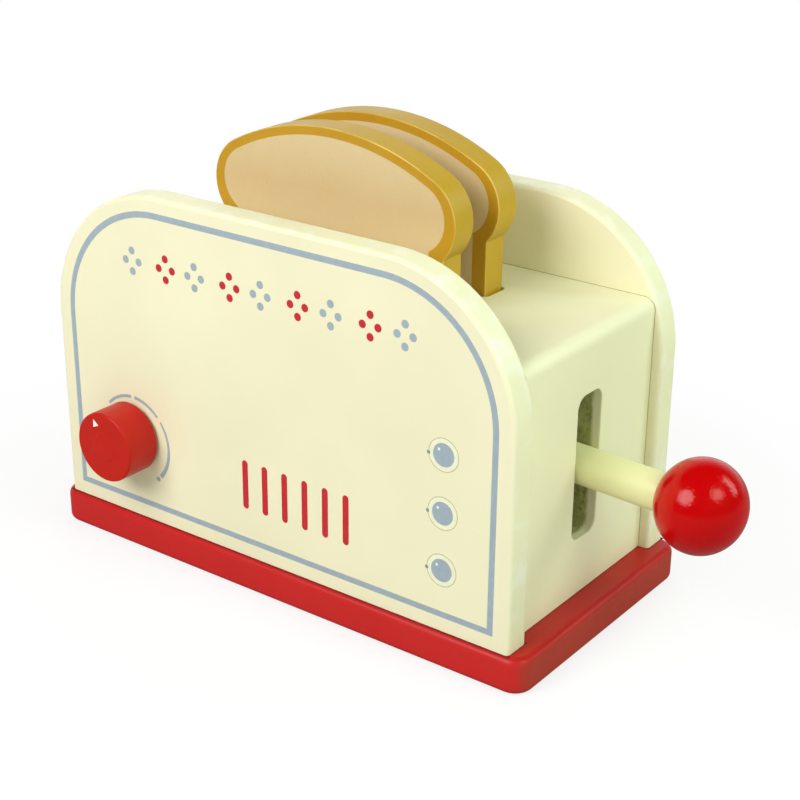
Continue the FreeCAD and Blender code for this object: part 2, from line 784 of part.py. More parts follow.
def make_ball():
    """A turned ball, a little flattened along the rod, with a flat-bottomed hole chamfered at its mouth."""
    ball = doc.addObject("Part::Ellipsoid", "turned_ball")
    tie(ball, "Radius1", "ball_length / 2")
    tie(ball, "Radius2", "ball_diameter / 2")
    on_lever_axis(ball, "ball_reach")
    bore_radius = "(rod_diameter / 2 + glue_clearance)"
    bore = drill("ball_bore", f"2 * {bore_radius}", "ball_bore_depth + ball_length / 2")
    on_lever_axis(bore, "(ball_reach - ball_length)")
    mouth = doc.addObject("Part::Cone", "ball_mouth")
    half_chord = f"sqrt(ball_diameter * ball_diameter / 4 - {bore_radius} * {bore_radius})"
    mouth_depth = f"({half_chord} * ball_length / ball_diameter)"
    tie(mouth, "Radius1", f"{bore_radius} + 2 * ball_mouth_chamfer")
    tie(mouth, "Radius2", bore_radius)
    tie(mouth, "Height", "2 * ball_mouth_chamfer")
    on_lever_axis(mouth, f"(ball_reach - {mouth_depth} - ball_mouth_chamfer)")
    return cut("lever_ball", ball, [bore, mouth])


lever_ball = make_ball()

lever_screw = wood_screw("lever_screw", "lever_screw_length")
lever_screw_hole = wood_screw("lever_screw_hole", "lever_screw_length", "glue_clearance")
lever_counterbore = counterbore("lever_counterbore")
LEVER_SCREW_PLACE = f"{BLOCK_LENGTH} / 2 - lever_screw_from_end"
for piece in (lever_screw, lever_screw_hole):
    place(piece, x=LEVER_SCREW_PLACE, z=f"{BLOCK_UNDERSIDE} + screw_recess")
place(lever_counterbore, x=LEVER_SCREW_PLACE, z=BLOCK_UNDERSIDE)

rod_blank = dowel("lever_rod_blank", "rod_diameter", f"({ROD_END} - {ROD_START})", "rod_end_chamfer")
on_lever_axis(rod_blank, ROD_START)
lever_rod = cut("lever_rod", rod_blank, [lever_screw_hole])


# ---------------------------------------------------------------------------
# Lift block
# ---------------------------------------------------------------------------
def make_lift_block():
    """Block with a groove for each slice's foot, two guide bores and a bore for the lever rod."""
    body = new_body("lift_block_blank")
    sketch = new_sketch(body, "outline", "XY_Plane")
    draw_rectangle(sketch, BLOCK_LENGTH, BLOCK_WIDTH)
    pad(body, sketch, "block_thickness")
    soften(body, "corners", edges_of(body, runs_along("Z")), "block_corner_radius")
    grooves = new_sketch(body, "grooves", "XY_Plane", "block_thickness")
    length = "(slice_body_width + 2 * groove_clearance)"
    width = "(slice_thickness + 2 * groove_clearance)"
    for side_y in (-1, 1):
        draw_rectangle(grooves, length, width, "slice_shift", signed(side_y, "slice_spacing / 2"))
    pocket(body, grooves, "groove_depth")
    place(body, z=BLOCK_UNDERSIDE)
    bores = []
    for side, guide_x in GUIDES.items():
        bore = drill(f"{side}_guide_bore", "guide_diameter + 2 * guide_clearance", "block_thickness")
        place(bore, x=guide_x, z=BLOCK_UNDERSIDE)
        bores.append(bore)
    rod_bore = drill("rod_bore", "rod_diameter + 2 * glue_clearance", "rod_in_block + rod_diameter")
    on_lever_axis(rod_bore, ROD_START)
    return cut("lift_block", body, [*bores, rod_bore, lever_screw_hole, lever_counterbore])


lift_block = make_lift_block()


# ---------------------------------------------------------------------------
# Slices of toast
# ---------------------------------------------------------------------------
def draw_slice(sketch):
    """Slice outline: straight body, and a wider risen top of one crown arc and two side arcs.

    The side arcs are tangent to the crown and run down to the body, where they leave a neck on
    each side.
    """
    height = value("slice_height")
    crown = value("slice_crown_radius")
    side = value("slice_side_radius")
    body_half = value("slice_body_width / 2")
    side_x = value("slice_body_width / 2 + slice_overhang") - side
    crown_z = height - crown
    side_z = crown_z + math.sqrt((crown - side) ** 2 - side_x**2)
    neck_z = side_z - math.sqrt(side**2 - (body_half - side_x) ** 2)
    join = math.atan2(side_z - crown_z, side_x)
    neck = math.atan2(neck_z - side_z, body_half - side_x)
    up = Vector(0, 0, 1)
    right = Part.Circle(Vector(side_x, side_z), up, side)
    left = Part.Circle(Vector(-side_x, side_z), up, side)
    top = Part.Circle(Vector(0, crown_z), up, crown)
    sketch.addGeometry(Part.LineSegment(Vector(-body_half, 0), Vector(body_half, 0)))
    sketch.addGeometry(Part.LineSegment(Vector(body_half, 0), Vector(body_half, neck_z)))
    sketch.addGeometry(Part.ArcOfCircle(right, neck, join))
    sketch.addGeometry(Part.ArcOfCircle(top, join, math.pi - join))
    sketch.addGeometry(Part.ArcOfCircle(left, math.pi - join, math.pi - neck))
    sketch.addGeometry(Part.LineSegment(Vector(-body_half, neck_z), Vector(-body_half, 0)))
    close_up(sketch, 6, ["Coincident", "Coincident", "Tangent", "Tangent", "Coincident", "Coincident"])
    sketch.addConstraint(Sketcher.Constraint("Horizontal", 0))
    sketch.addConstraint(Sketcher.Constraint("Vertical", 1))
    sketch.addConstraint(Sketcher.Constraint("Vertical", 5))
    sketch.addConstraint(Sketcher.Constraint("Symmetric", 0, 1, 0, 2, -1, 1))
    sketch.addConstraint(Sketcher.Constraint("PointOnObject", 3, 3, -2))
    sketch.addConstraint(Sketcher.Constraint("Equal", 2, 4))
    sketch.addConstraint(Sketcher.Constraint("Horizontal", 2, 3, 4, 3))
    dimension(sketch, "body_width", "slice_body_width", "DistanceX", 0, 1, 0, 2)
    dimension(sketch, "side_radius", "slice_side_radius", "Radius", 2)
    dimension(sketch, "crown_radius", "slice_crown_radius", "Radius", 3)
    side_place = "slice_body_width / 2 + slice_overhang - slice_side_radius"
    dimension(sketch, "side_place", side_place, "DistanceX", -1, 1, 2, 3)
    dimension(sketch, "crown_place", "slice_height - slice_crown_radius", "DistanceY", -1, 1, 3, 3)


def make_slice(label, side_y):
    body = new_body(label)
    sketch = new_sketch(body, "outline", "XZ_Plane")
    draw_slice(sketch)
    pad(body, sketch, "slice_thickness", symmetric=True)
    half_width = value("slice_body_width / 2")
    beside = edges_of(body, runs_along("Y"), lies_at("X", -half_width, half_width))
    feet = edges_of(body, runs_along("Y"), lies_at("Z", 0))
    soften(body, "necks", [name for name in beside if name not in feet], "slice_neck_radius")
    feet = edges_of(body, runs_along("Y"), lies_at("Z", 0))
    soften(body, "feet", feet, "slice_foot_radius")
    half = value("slice_thickness / 2")
    soften(body, "rims", edges_of(body, lies_at("Y", -half, half)), "slice_edge_round")
    place(body, x="slice_shift", y=signed(side_y, "slice_spacing / 2"), z=SLICE_FOOT)
    return body


toast_front = make_slice("toast_front", -1)
toast_rear = make_slice("toast_rear", 1)


# ---------------------------------------------------------------------------
# Knob, turned on its axle
# ---------------------------------------------------------------------------
def on_knob_axis(thing, distance):
    """Sets an object's Z axis outwards through the front panel, that far out from the panel's face."""
    place(thing, x=KNOB_PLACE, y=f"-{PANEL_FACE} - {distance}", z=KNOB_HEIGHT, axis=(1, 0, 0), angle="90")


GLUED_AXLE_BORE = "(axle_diameter / 2 + glue_clearance)"
RUNNING_AXLE_BORE = "(axle_diameter / 2 + axle_clearance)"


def ring_on_axle(label, bore, diameter, thickness, distance):
    """A round piece with a hole for the axle, set on the knob's axis."""
    rim = f"{diameter} / 2"
    body = turned(label, [(bore, "0"), (rim, "0"), (rim, thickness), (bore, thickness)])
    on_knob_axis(body, distance)
    return body


def soften_knob(body):
    """Rounds the outer edge of the knob's front face."""
    front = edges_of(body, lies_at("Z", value("knob_length")))
    bore_rim = edges_of(body, lies_within("X", value(GLUED_AXLE_BORE)))
    soften(body, "front_edge", [name for name in front if name not in bore_rim], "knob_front_round")


knob = ring_on_axle("knob", GLUED_AXLE_BORE, "knob_diameter", "knob_length", "knob_gap")
soften_knob(knob)
AXLE_LENGTH = f"({KNOB_FACE} - axle_recess - {COLLAR_START})"
knob_axle = dowel("knob_axle", "axle_diameter", AXLE_LENGTH, "joint_dowel_chamfer")
on_knob_axis(knob_axle, COLLAR_START)
knob_washer = ring_on_axle("knob_washer", RUNNING_AXLE_BORE, "spacer_diameter", "knob_gap", "0")
knob_collar = ring_on_axle(
    "knob_collar", GLUED_AXLE_BORE, "collar_diameter", "collar_thickness", COLLAR_START
)


# ---------------------------------------------------------------------------
# Check and write
# ---------------------------------------------------------------------------
PARTS = [
    base_board,
    front_panel,
    rear_panel,
    left_end_board,
    right_end_board,
    top_board,
    panel_dowels,
    top_board_dowels,
    base_screws,
    *guide_dowels.values(),
    *springs.values(),
    spring_washers,
    lift_block,
    lever_rod,
    lever_ball,
    lever_screw,
    toast_front,
    toast_rear,
    knob,
    knob_axle,
    knob_washer,
    knob_collar,
]

doc.recompute()
for thing in doc.Objects:
    if "Invalid" in thing.State or "Error" in thing.State:
        raise ValueError(f"{thing.Label} failed: {thing.State}")

os.makedirs("parts", exist_ok=True)
for part in PARTS:
    if part.Shape.isNull() or not part.Shape.isValid():
        raise ValueError(f"{part.Label} has no valid shape")
    solids = part.Shape.Solids
    box = part.Shape.BoundBox
    print(
        f"{part.Label}: {len(solids)} solid(s), {part.Shape.Volume / 1000:.2f} cm3, "
        f"z {box.ZMin:.2f} to {box.ZMax:.2f}"
    )
    part.Shape.exportStep(os.path.join("parts", f"{part.Label}.step"))
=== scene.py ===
# %% [markdown]
# # A wooden toy toaster
#
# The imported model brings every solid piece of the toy: boards, slices, lever, knob, and the sprung
# lift that is hidden in the box. This lesson gives them their looks. It paints the wood, prints the
# front and the slices, winds the springs, cuts the screw heads, and sets up a small studio round
# the toy. Everything is in metres, with X towards the lever, -Y towards the printed front and Z up.

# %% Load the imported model
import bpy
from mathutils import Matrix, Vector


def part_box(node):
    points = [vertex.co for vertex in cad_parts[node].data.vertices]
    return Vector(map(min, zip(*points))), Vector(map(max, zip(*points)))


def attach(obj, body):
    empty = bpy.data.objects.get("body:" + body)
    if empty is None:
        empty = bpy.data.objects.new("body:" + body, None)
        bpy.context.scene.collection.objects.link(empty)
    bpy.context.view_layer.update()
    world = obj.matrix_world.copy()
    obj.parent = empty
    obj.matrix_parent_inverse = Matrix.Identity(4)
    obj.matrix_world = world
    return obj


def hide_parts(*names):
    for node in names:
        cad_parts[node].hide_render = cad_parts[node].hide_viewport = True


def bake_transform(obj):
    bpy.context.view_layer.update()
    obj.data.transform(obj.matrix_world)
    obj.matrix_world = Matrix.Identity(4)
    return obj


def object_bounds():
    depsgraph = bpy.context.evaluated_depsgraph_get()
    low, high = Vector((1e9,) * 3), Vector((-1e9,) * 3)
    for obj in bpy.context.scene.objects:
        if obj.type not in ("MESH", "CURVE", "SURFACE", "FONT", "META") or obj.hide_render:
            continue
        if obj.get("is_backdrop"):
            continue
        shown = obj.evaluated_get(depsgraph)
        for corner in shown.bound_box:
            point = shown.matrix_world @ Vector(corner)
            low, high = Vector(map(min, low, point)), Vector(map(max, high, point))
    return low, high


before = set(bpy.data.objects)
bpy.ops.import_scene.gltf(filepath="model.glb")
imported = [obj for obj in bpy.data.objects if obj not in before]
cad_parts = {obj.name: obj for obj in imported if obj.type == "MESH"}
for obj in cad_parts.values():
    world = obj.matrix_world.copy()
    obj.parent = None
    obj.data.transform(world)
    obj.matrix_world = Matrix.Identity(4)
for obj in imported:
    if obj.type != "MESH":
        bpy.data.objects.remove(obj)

cad_low, cad_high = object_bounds()
print("the packed model spans", [round(side, 4) for side in cad_high - cad_low])

# %% [markdown]
# ## The camera
#
# A product shot of a toy is taken with a long lens from a little above, so that the uprights stay
# nearly upright. A camera can be placed by hand until the picture looks right, or from its
# direction, its distance and the point that it looks at. The second way is chosen, because each
# number then says something and can be changed by itself. The last small turn is the roll of a
# camera that is not quite level.

# %% Camera
import math

import bpy
from mathutils import Matrix, Quaternion, Vector

MM = 0.001

CAMERA_AZIMUTH = math.radians(36.52)
CAMERA_ELEVATION = math.radians(23.16)
CAMERA_ROLL = math.radians(0.52)
CAMERA_DISTANCE = 669.31 * MM
CAMERA_AIM = Vector((20.30, 0.5, 71.70)) * MM
FOCAL_LENGTH_IN_PICTURES = 2.0802
SENSOR_WIDTH_MM = 36


def direction(azimuth, elevation):
    """Unit vector outwards. Azimuth 0 is straight in front, 90 degrees the lever's end."""
    return Vector((
        math.sin(azimuth) * math.cos(elevation),
        -math.cos(azimuth) * math.cos(elevation),
        math.sin(elevation),
    ))


def into_scene(thing):
    bpy.context.scene.collection.objects.link(thing)
    return thing


camera_data = bpy.data.cameras.new("camera")
camera_data.sensor_width = SENSOR_WIDTH_MM
camera_data.lens = FOCAL_LENGTH_IN_PICTURES * SENSOR_WIDTH_MM
camera = into_scene(bpy.data.objects.new("camera", camera_data))
outwards = direction(CAMERA_AZIMUTH, CAMERA_ELEVATION)
camera.location = CAMERA_AIM + outwards * CAMERA_DISTANCE
level = outwards.to_track_quat("Z", "Y")
camera.rotation_mode = "QUATERNION"
camera.rotation_quaternion = level @ Quaternion((0, 0, 1), CAMERA_ROLL)
bpy.context.scene.camera = camera
bpy.context.scene.view_settings.view_transform = "Standard"
print("camera at", [round(part, 3) for part in camera.location], "lens", round(camera_data.lens, 1))

# %% [markdown]
# ## Short ways to build node materials
#
# Every finish below is made of a few nodes: a place on the piece, some noise at that place, a mix
# of two colours and a bump. They could be laid out by hand in the shader editor. Small functions do
# the same here, so that each finish reads like a recipe.

# %% Node helpers
# the mix node has a set of sockets for each kind of data, and these are its colours
MIX_SHARE, MIX_FIRST, MIX_SECOND, MIX_RESULT = 0, 6, 7, 2
# most of the noise lies between such limits
SOFT_CLOUDS = (0.3, 0.7)
CRISP_CLOUDS = (0.35, 0.65)


def add_node(tree, kind, inputs=None, **options):
    """Adds a node. An input that comes from another node is linked, and any other is set."""
    made = tree.nodes.new(kind)
    for option, choice in options.items():
        setattr(made, option, choice)
    for name, given in (inputs or {}).items():
        if isinstance(given, bpy.types.NodeSocket):
            tree.links.new(given, made.inputs[name])
        else:
            made.inputs[name].default_value = given
    return made


def place_on_piece(tree):
    """The point that is shaded, in metres from the toy's origin."""
    return add_node(tree, "ShaderNodeTexCoord").outputs["Object"]


def stretched(tree, place, scale):
    return add_node(tree, "ShaderNodeMapping", {"Vector": place, "Scale": scale}).outputs["Vector"]


def noise(tree, place, scale, detail=2.0):
    inputs = {"Vector": place, "Scale": scale, "Detail": detail}
    return add_node(tree, "ShaderNodeTexNoise", inputs).outputs["Fac"]


def remap(tree, number, low, high, new_low=0.0, new_high=1.0):
    """Maps low..high to new_low..new_high, and holds what lies outside."""
    inputs = {
        "Value": number,
        "From Min": low,
        "From Max": high,
        "To Min": new_low,
        "To Max": new_high,
    }
    return add_node(tree, "ShaderNodeMapRange", inputs, clamp=True).outputs["Result"]


def cloudy(tree, place, scale, detail=2.0, limits=SOFT_CLOUDS, new_low=0.0, new_high=1.0):
    """Noise drawn out to its full range. The closer its limits, the crisper the clouds."""
    return remap(tree, noise(tree, place, scale, detail), *limits, new_low, new_high)


def calculate(tree, operation, first, second=0.0):
    inputs = {0: first, 1: second}
    return add_node(tree, "ShaderNodeMath", inputs, operation=operation).outputs[0]


def times(tree, first, second):
    return calculate(tree, "MULTIPLY", first, second)


def part_of(tree, vector, axis):
    """The X, Y or Z of a vector."""
    return add_node(tree, "ShaderNodeSeparateXYZ", {0: vector}).outputs[axis]


def facing_along(tree, axis):
    """1 where a face looks along the axis, to either side, and 0 where it runs along it."""
    normal = add_node(tree, "ShaderNodeNewGeometry").outputs["Normal"]
    return calculate(tree, "ABSOLUTE", part_of(tree, normal, axis))


def cosine_to(tree, towards, side):
    """Cosine of the angle between two directions."""
    inputs = {0: towards, 1: side}
    return add_node(tree, "ShaderNodeVectorMath", inputs, operation="DOT_PRODUCT").outputs["Value"]


def mix_colours(tree, share, first, second):
    """The first colour where the share is 0, and the second where it is 1."""
    inputs = {MIX_SHARE: share}
    for socket, colour in ((MIX_FIRST, first), (MIX_SECOND, second)):
        linked = isinstance(colour, bpy.types.NodeSocket)
        inputs[socket] = colour if linked else (*colour, 1)
    return add_node(tree, "ShaderNodeMix", inputs, data_type="RGBA").outputs[MIX_RESULT]


def mix_shaders(tree, share, first, second):
    """The first shader where the share is 0, and the second where it is 1."""
    inputs = {0: share, 1: first, 2: second}
    return add_node(tree, "ShaderNodeMixShader", inputs).outputs[0]


def bump(tree, height, depth, below=None):
    """A bump of that depth in metres, on top of another bump where one is given."""
    inputs = {"Height": height, "Distance": depth, "Strength": 1.0}
    if below is not None:
        inputs["Normal"] = below
    return add_node(tree, "ShaderNodeBump", inputs).outputs["Normal"]


def new_finish(name, gloss=0.5):
    """A material with one shader. Gloss is how strongly it mirrors: 0.5 for plain paint."""
    material = bpy.data.materials.new(name)
    material.use_nodes = True
    tree = material.node_tree
    shader = tree.nodes["Principled BSDF"]
    shader.inputs["Specular IOR Level"].default_value = gloss
    return material, tree, shader


def feed(shader, name, value):
    """Links a value to one of the shader's sockets, in place of what was linked there."""
    shader.id_data.links.new(value, shader.inputs[name])


def shaded(colour, factor):
    return tuple(part * factor for part in colour)


# %% [markdown]
# ## The studio
#
# The toy stands on a white sweep, in a room that is dark behind the camera. A floor lit until it is
# white would need lamps that wash out the cream paint. Instead, the floor and the world show plain
# white to the camera and to reflections, while the light on the toy stays at a level at which paint
# looks as it was mixed. Near the toy the floor keeps some of its real shade, so the contact shadow
# stays there, and gloss near the floor mirrors that shade. Light that bounces off the floor is
# weaker than the eye's white would give, because a real sweep lies in the shadow of its own toy and
# lamps. Gloss needs something to mirror, and a mirror that shows white everywhere would grey the
# reds. So gloss sees a dark studio on the camera's side and white behind the toy. The floor has an
# opening below the base and is clear from below, so that the underside can be looked at.

# %% The floor
FLOOR_SIZE = 6.0
OPENING_INSET = 5 * MM  # from the base's right and rear sides
FLOOR_BOUNCE = 0.52
FLOOR_TO_EYE = 0.95
FLOOR_IN_GLOSS = 0.25
SHADOW_REACH = 0.14
SHADOW_FADE = 0.12
SHADOW_SHARE = 0.25
MIRROR_REACH = 0.45
MIRROR_FADE = 0.45
DARK_SIDE = direction(math.radians(45), math.radians(30))
DARK_MIRROR = 0.02
# cosines of the angle from the dark side: white up to the first, dark from the second
WHITE_UP_TO = -0.65
DARK_FROM = -0.15


def seen_directly(tree, path):
    """1 where the camera looks, straight or through glass, and 0 elsewhere."""
    return calculate(tree, "MAXIMUM", path["Is Camera Ray"], path["Is Transmission Ray"])


def bright_in_gloss(tree, towards):
    """How bright gloss sees a direction: white behind the toy, dark on the camera's side."""
    facing = cosine_to(tree, towards, DARK_SIDE)
    return remap(tree, facing, WHITE_UP_TO, DARK_FROM, 1.0, DARK_MIRROR)


def make_sweep_material():
    material = bpy.data.materials.new("white_sweep")
    material.use_nodes = True
    tree = material.node_tree
    tree.nodes.remove(tree.nodes["Principled BSDF"])
    path = add_node(tree, "ShaderNodeLightPath").outputs
    seen = seen_directly(tree, path)
    glossy = path["Is Glossy Ray"]
    cloth = mix_colours(tree, glossy, (FLOOR_BOUNCE,) * 3, (FLOOR_IN_GLOSS,) * 3)
    cloth = mix_colours(tree, seen, cloth, (FLOOR_TO_EYE,) * 3)
    lit = add_node(tree, "ShaderNodeBsdfDiffuse", {"Color": cloth}).outputs[0]
    light = {"Color": (1, 1, 1, 1), "Strength": 1.0}
    white = add_node(tree, "ShaderNodeEmission", light).outputs[0]
    place = place_on_piece(tree)
    far = add_node(tree, "ShaderNodeVectorMath", {0: place}, operation="LENGTH").outputs["Value"]
    unit = add_node(tree, "ShaderNodeVectorMath", {0: place}, operation="NORMALIZE")
    mirrored = bright_in_gloss(tree, unit.outputs["Vector"])
    to_eye = remap(tree, far, SHADOW_REACH, SHADOW_REACH + SHADOW_FADE, 1 - SHADOW_SHARE, 1.0)
    to_gloss = times(tree, remap(tree, far, MIRROR_REACH, MIRROR_REACH + MIRROR_FADE), mirrored)
    whiteness = calculate(tree, "ADD", times(tree, to_eye, seen), times(tree, to_gloss, glossy))
    below = add_node(tree, "ShaderNodeNewGeometry").outputs["Backfacing"]
    clear = add_node(tree, "ShaderNodeBsdfTransparent").outputs[0]
    surface = mix_shaders(tree, below, mix_shaders(tree, whiteness, lit, white), clear)
    tree.links.new(surface, tree.nodes["Material Output"].inputs["Surface"])
    return material


def rectangle(x, y, height=0.0):
    """The corners of a level rectangle about the Z axis, from half its sides."""
    return [(-x, -y, height), (x, -y, height), (x, y, height), (-x, y, height)]


def make_floor():
    """Four faces round an opening, which lies about the origin and stays under the base."""
    base_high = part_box("base_board")[1]
    rim = rectangle(base_high.x - OPENING_INSET, base_high.y - OPENING_INSET)
    corners = rectangle(FLOOR_SIZE / 2, FLOOR_SIZE / 2) + rim
    faces = [(a, (a + 1) % 4, 4 + (a + 1) % 4, 4 + a) for a in range(4)]
    mesh = bpy.data.meshes.new("floor")
    mesh.from_pydata(corners, [], faces)
    mesh.materials.append(make_sweep_material())
    return into_scene(bpy.data.objects.new("floor", mesh))


floor = make_floor()
floor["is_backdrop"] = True
print("floor", FLOOR_SIZE, "m wide")

# %% [markdown]
# The room gives an even light from all sides. Two walls give more. The one on the lever's side is
# wide and slightly greener, as daylight through a window is. The one behind the toy and to its left
# is narrow and bright, so that the back is lit without more light on the top. To the camera the
# room is plain white all round.

# %% The room
WHITE = (1.0, 1.0, 1.0)
ROOM_LIGHT = 0.21
WALLS = (
    # direction, cosine of the angle at which it ends, light that it adds at its middle, colour
    ((1.0, 0.0, 0.0), 0.0, 0.77, (0.92, 1.0, 0.82)),
    ((-0.6, 0.8, 0.0), 0.65, 2.5, (1.0, 1.0, 0.96)),
)


def make_room():
    world = bpy.data.worlds.new("room")
    bpy.context.scene.world = world
    world.use_nodes = True
    tree = world.node_tree
    tree.nodes.remove(tree.nodes["Background"])
    path = add_node(tree, "ShaderNodeLightPath").outputs
    towards = add_node(tree, "ShaderNodeTexCoord").outputs["Generated"]

    def glow(strength, colour=WHITE):
        inputs = {"Color": (*colour, 1), "Strength": strength}
        return add_node(tree, "ShaderNodeBackground", inputs).outputs[0]

    light = glow(ROOM_LIGHT)
    for side, end, level, colour in WALLS:
        wall = glow(remap(tree, cosine_to(tree, towards, side), end, 1.0, 0.0, level), colour)
        light = add_node(tree, "ShaderNodeAddShader", {0: light, 1: wall}).outputs[0]
    mirror = glow(bright_in_gloss(tree, towards))
    unseen = mix_shaders(tree, path["Is Glossy Ray"], light, mirror)
    surface = mix_shaders(tree, seen_directly(tree, path), unseen, glow(1.0))
    tree.links.new(surface, tree.nodes["World Output"].inputs["Surface"])


make_room()
print("room light", ROOM_LIGHT, "and walls", [level for side, end, level, colour in WALLS])

# %% [markdown]
# Three soft boxes stand round the toy. The first lights the printed front, the second the lever's
# end and the third comes over the back corner. The glossy ball mirrors all three, which is how
# their places were found: the middle of each highlight faces halfway between the camera and its
# lamp. The first two are round, and the third is a strip that leans over. A lamp's level is given
# as what it adds to a white board that faces it.

# %% The soft boxes
LAMP_DISTANCE = 1.2
LAMPS = {
    # name: (direction, level, shape, (width, height), lean in degrees, colour)
    "front_box": (
        Vector((-0.165, -0.800, 0.576)), 0.80, "ELLIPSE", (0.86, 0.76), 0, (1.0, 0.975, 1.0)
    ),
    "end_box": (
        Vector((0.787, -0.065, 0.614)), 0.26, "ELLIPSE", (0.60, 0.54), 0, (0.82, 1.0, 0.84)
    ),
    "rear_box": (
        Vector((0.657, 0.583, 0.479)), 0.22, "RECTANGLE", (0.27, 0.63), -17, (0.87, 1.0, 0.93)
    ),
}


def add_soft_box(name, towards, level, shape, size, lean, colour):
    lamp_data = bpy.data.lights.new(name, "AREA")
    lamp_data.shape = shape
    lamp_data.size, lamp_data.size_y = size
    lamp_data.color = colour
    lamp_data.energy = level * math.pi**2 * LAMP_DISTANCE**2
    lamp = into_scene(bpy.data.objects.new(name, lamp_data))
    aim = Vector((0, 0, (cad_low.z + cad_high.z) / 2))
    lamp.location = aim + towards.normalized() * LAMP_DISTANCE
    lamp.rotation_mode = "QUATERNION"
    upright = towards.to_track_quat("Z", "Y")
    lamp.rotation_quaternion = upright @ Quaternion((0, 0, 1), math.radians(lean))
    print(name, "at", [round(part, 2) for part in lamp.location], round(lamp_data.energy, 2), "W")


for lamp_name, lamp_settings in LAMPS.items():
    add_soft_box(lamp_name, *lamp_settings)

# %% [markdown]
# ## Paint on wood
#
# The boards are sprayed with satin lacquer. Seen close, such paint isn't one flat colour: it is a
# little thicker here and there, its surface has the fine dimples that painters call orange peel,
# and its shine varies. A picture of paint could be wrapped round the boards, but noise in three
# dimensions needs no unwrapping, runs over the edges without a seam and stays with the piece when
# it moves.

# %% A recipe for paint
CLOUD_SCALE = 16
SHINE_SCALE = 90
SHINE_SPREAD = 0.12
WAVE_SCALE = 45
WAVES_TO_DIMPLES = 6  # how much deeper the slow waves are than the dimples
PEEL_SCALE = 700
PEEL_DEPTH = 0.012 * MM


def paint(
    name, colour, roughness, gloss=0.5, mottle=0.025, peel=PEEL_DEPTH, peel_scale=PEEL_SCALE
):
    """Lacquer: cloudy by a share of its colour, dimpled by a depth in metres."""
    material, tree, shader = new_finish(name, gloss)
    place = place_on_piece(tree)
    clouds = cloudy(tree, place, CLOUD_SCALE, 3, CRISP_CLOUDS)
    tint = mix_colours(tree, clouds, shaded(colour, 1 - mottle), shaded(colour, 1 + mottle))
    feed(shader, "Base Color", tint)
    least, most = roughness * (1 - SHINE_SPREAD), roughness * (1 + SHINE_SPREAD)
    shine = cloudy(tree, place, SHINE_SCALE, new_low=least, new_high=most)
    feed(shader, "Roughness", shine)
    waves = bump(tree, noise(tree, place, WAVE_SCALE), peel * WAVES_TO_DIMPLES)
    dimples = bump(tree, noise(tree, place, peel_scale, 1), peel, waves)
    feed(shader, "Normal", dimples)
    return material, tree, shader, place, tint


CREAM = (0.865, 0.835, 0.565)
ROD_CREAM = (0.86, 0.85, 0.44)
BASE_RED = (0.575, 0.017, 0.015)
KNOB_RED = (0.51, 0.010, 0.003)
BALL_RED = (0.535, 0.0010, 0.0015)
CRUST = (0.500, 0.305, 0.014)
CREAM_ROUGHNESS = 0.42

cream_paint = paint("cream_paint", CREAM, CREAM_ROUGHNESS)[0]
rod_paint = paint("rod_paint", ROD_CREAM, 0.45)[0]
knob_paint = paint("knob_paint", KNOB_RED, 0.38, gloss=0.25)[0]
ball_paint = paint("ball_paint", BALL_RED, 0.12, gloss=0.27, peel=0.085 * MM, peel_scale=1150)[0]
mixed = (cream_paint, rod_paint, knob_paint, ball_paint)
print("paints mixed:", [finish.name for finish in mixed])

# %% [markdown]
# The cut edges of the two panels soak up the first coat, so they are gone over by hand. The second
# coat lies there in patches, which are paler than the cream round them. The broad faces point along
# Y, so the edges are found by their normal.

# %% Panel paint
CREAM_PATCHES = (0.93, 0.94, 0.80)
PATCH_SCALE = 110
PATCH_LIMITS = (0.50, 0.66)
PATCH_SHARE = 0.55
# a face counts as looking along an axis as that part of its normal grows from one to the other
FACE_ALONG = (0.5, 0.95)


def make_panel_paint():
    material, tree, shader, place, tint = paint("panel_paint", CREAM, CREAM_ROUGHNESS)
    patches = cloudy(tree, place, PATCH_SCALE, 4, PATCH_LIMITS, 0.0, PATCH_SHARE)
    on_edge = remap(tree, facing_along(tree, "Y"), *FACE_ALONG, 1.0, 0.0)
    share = times(tree, on_edge, patches)
    feed(shader, "Base Color", mix_colours(tree, share, tint, CREAM_PATCHES))
    return material


panel_paint = make_panel_paint()
print("panel edges patched with", CREAM_PATCHES)

# %% [markdown]
# The top of the base is painted a deeper red, which fades over the rounded edge. That is painted
# shade, where the box above keeps light off the top. The fade only needs the height of the point.
# The two ends are painted a duller and slightly milky red: painted shade with a painted sheen, for
# the weaker light and the grazing shine on them. Those faces are found by their normal.

# %% Base paint
# painted shade: the top's deeper red, and the ends' duller red with a painted sheen
BASE_RED_SHADED_TOP = (0.455, 0.010, 0.008)
BASE_RED_ENDS_SHADE_AND_SHEEN = (0.430, 0.040, 0.022)
TOP_SHADE_FADE = 2.4 * MM
TOP_SHADE_BELOW_TOP = 0.1 * TOP_SHADE_FADE
base_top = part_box("base_board")[1].z


def make_base_paint():
    material, tree, shader, place, tint = paint("base_paint", BASE_RED, 0.36, gloss=0.26)
    fade = (base_top - TOP_SHADE_FADE, base_top - TOP_SHADE_BELOW_TOP)
    # painted shade on the top, fading in by height
    top_shade = remap(tree, part_of(tree, place, "Z"), *fade)
    on_end = remap(tree, facing_along(tree, "X"), *FACE_ALONG)
    # painted shade and painted sheen on the two ends
    sides = mix_colours(tree, on_end, tint, BASE_RED_ENDS_SHADE_AND_SHEEN)
    feed(shader, "Base Color", mix_colours(tree, top_shade, sides, BASE_RED_SHADED_TOP))
    return material


base_paint = make_base_paint()
print("painted top shade fades over", TOP_SHADE_FADE, "m")
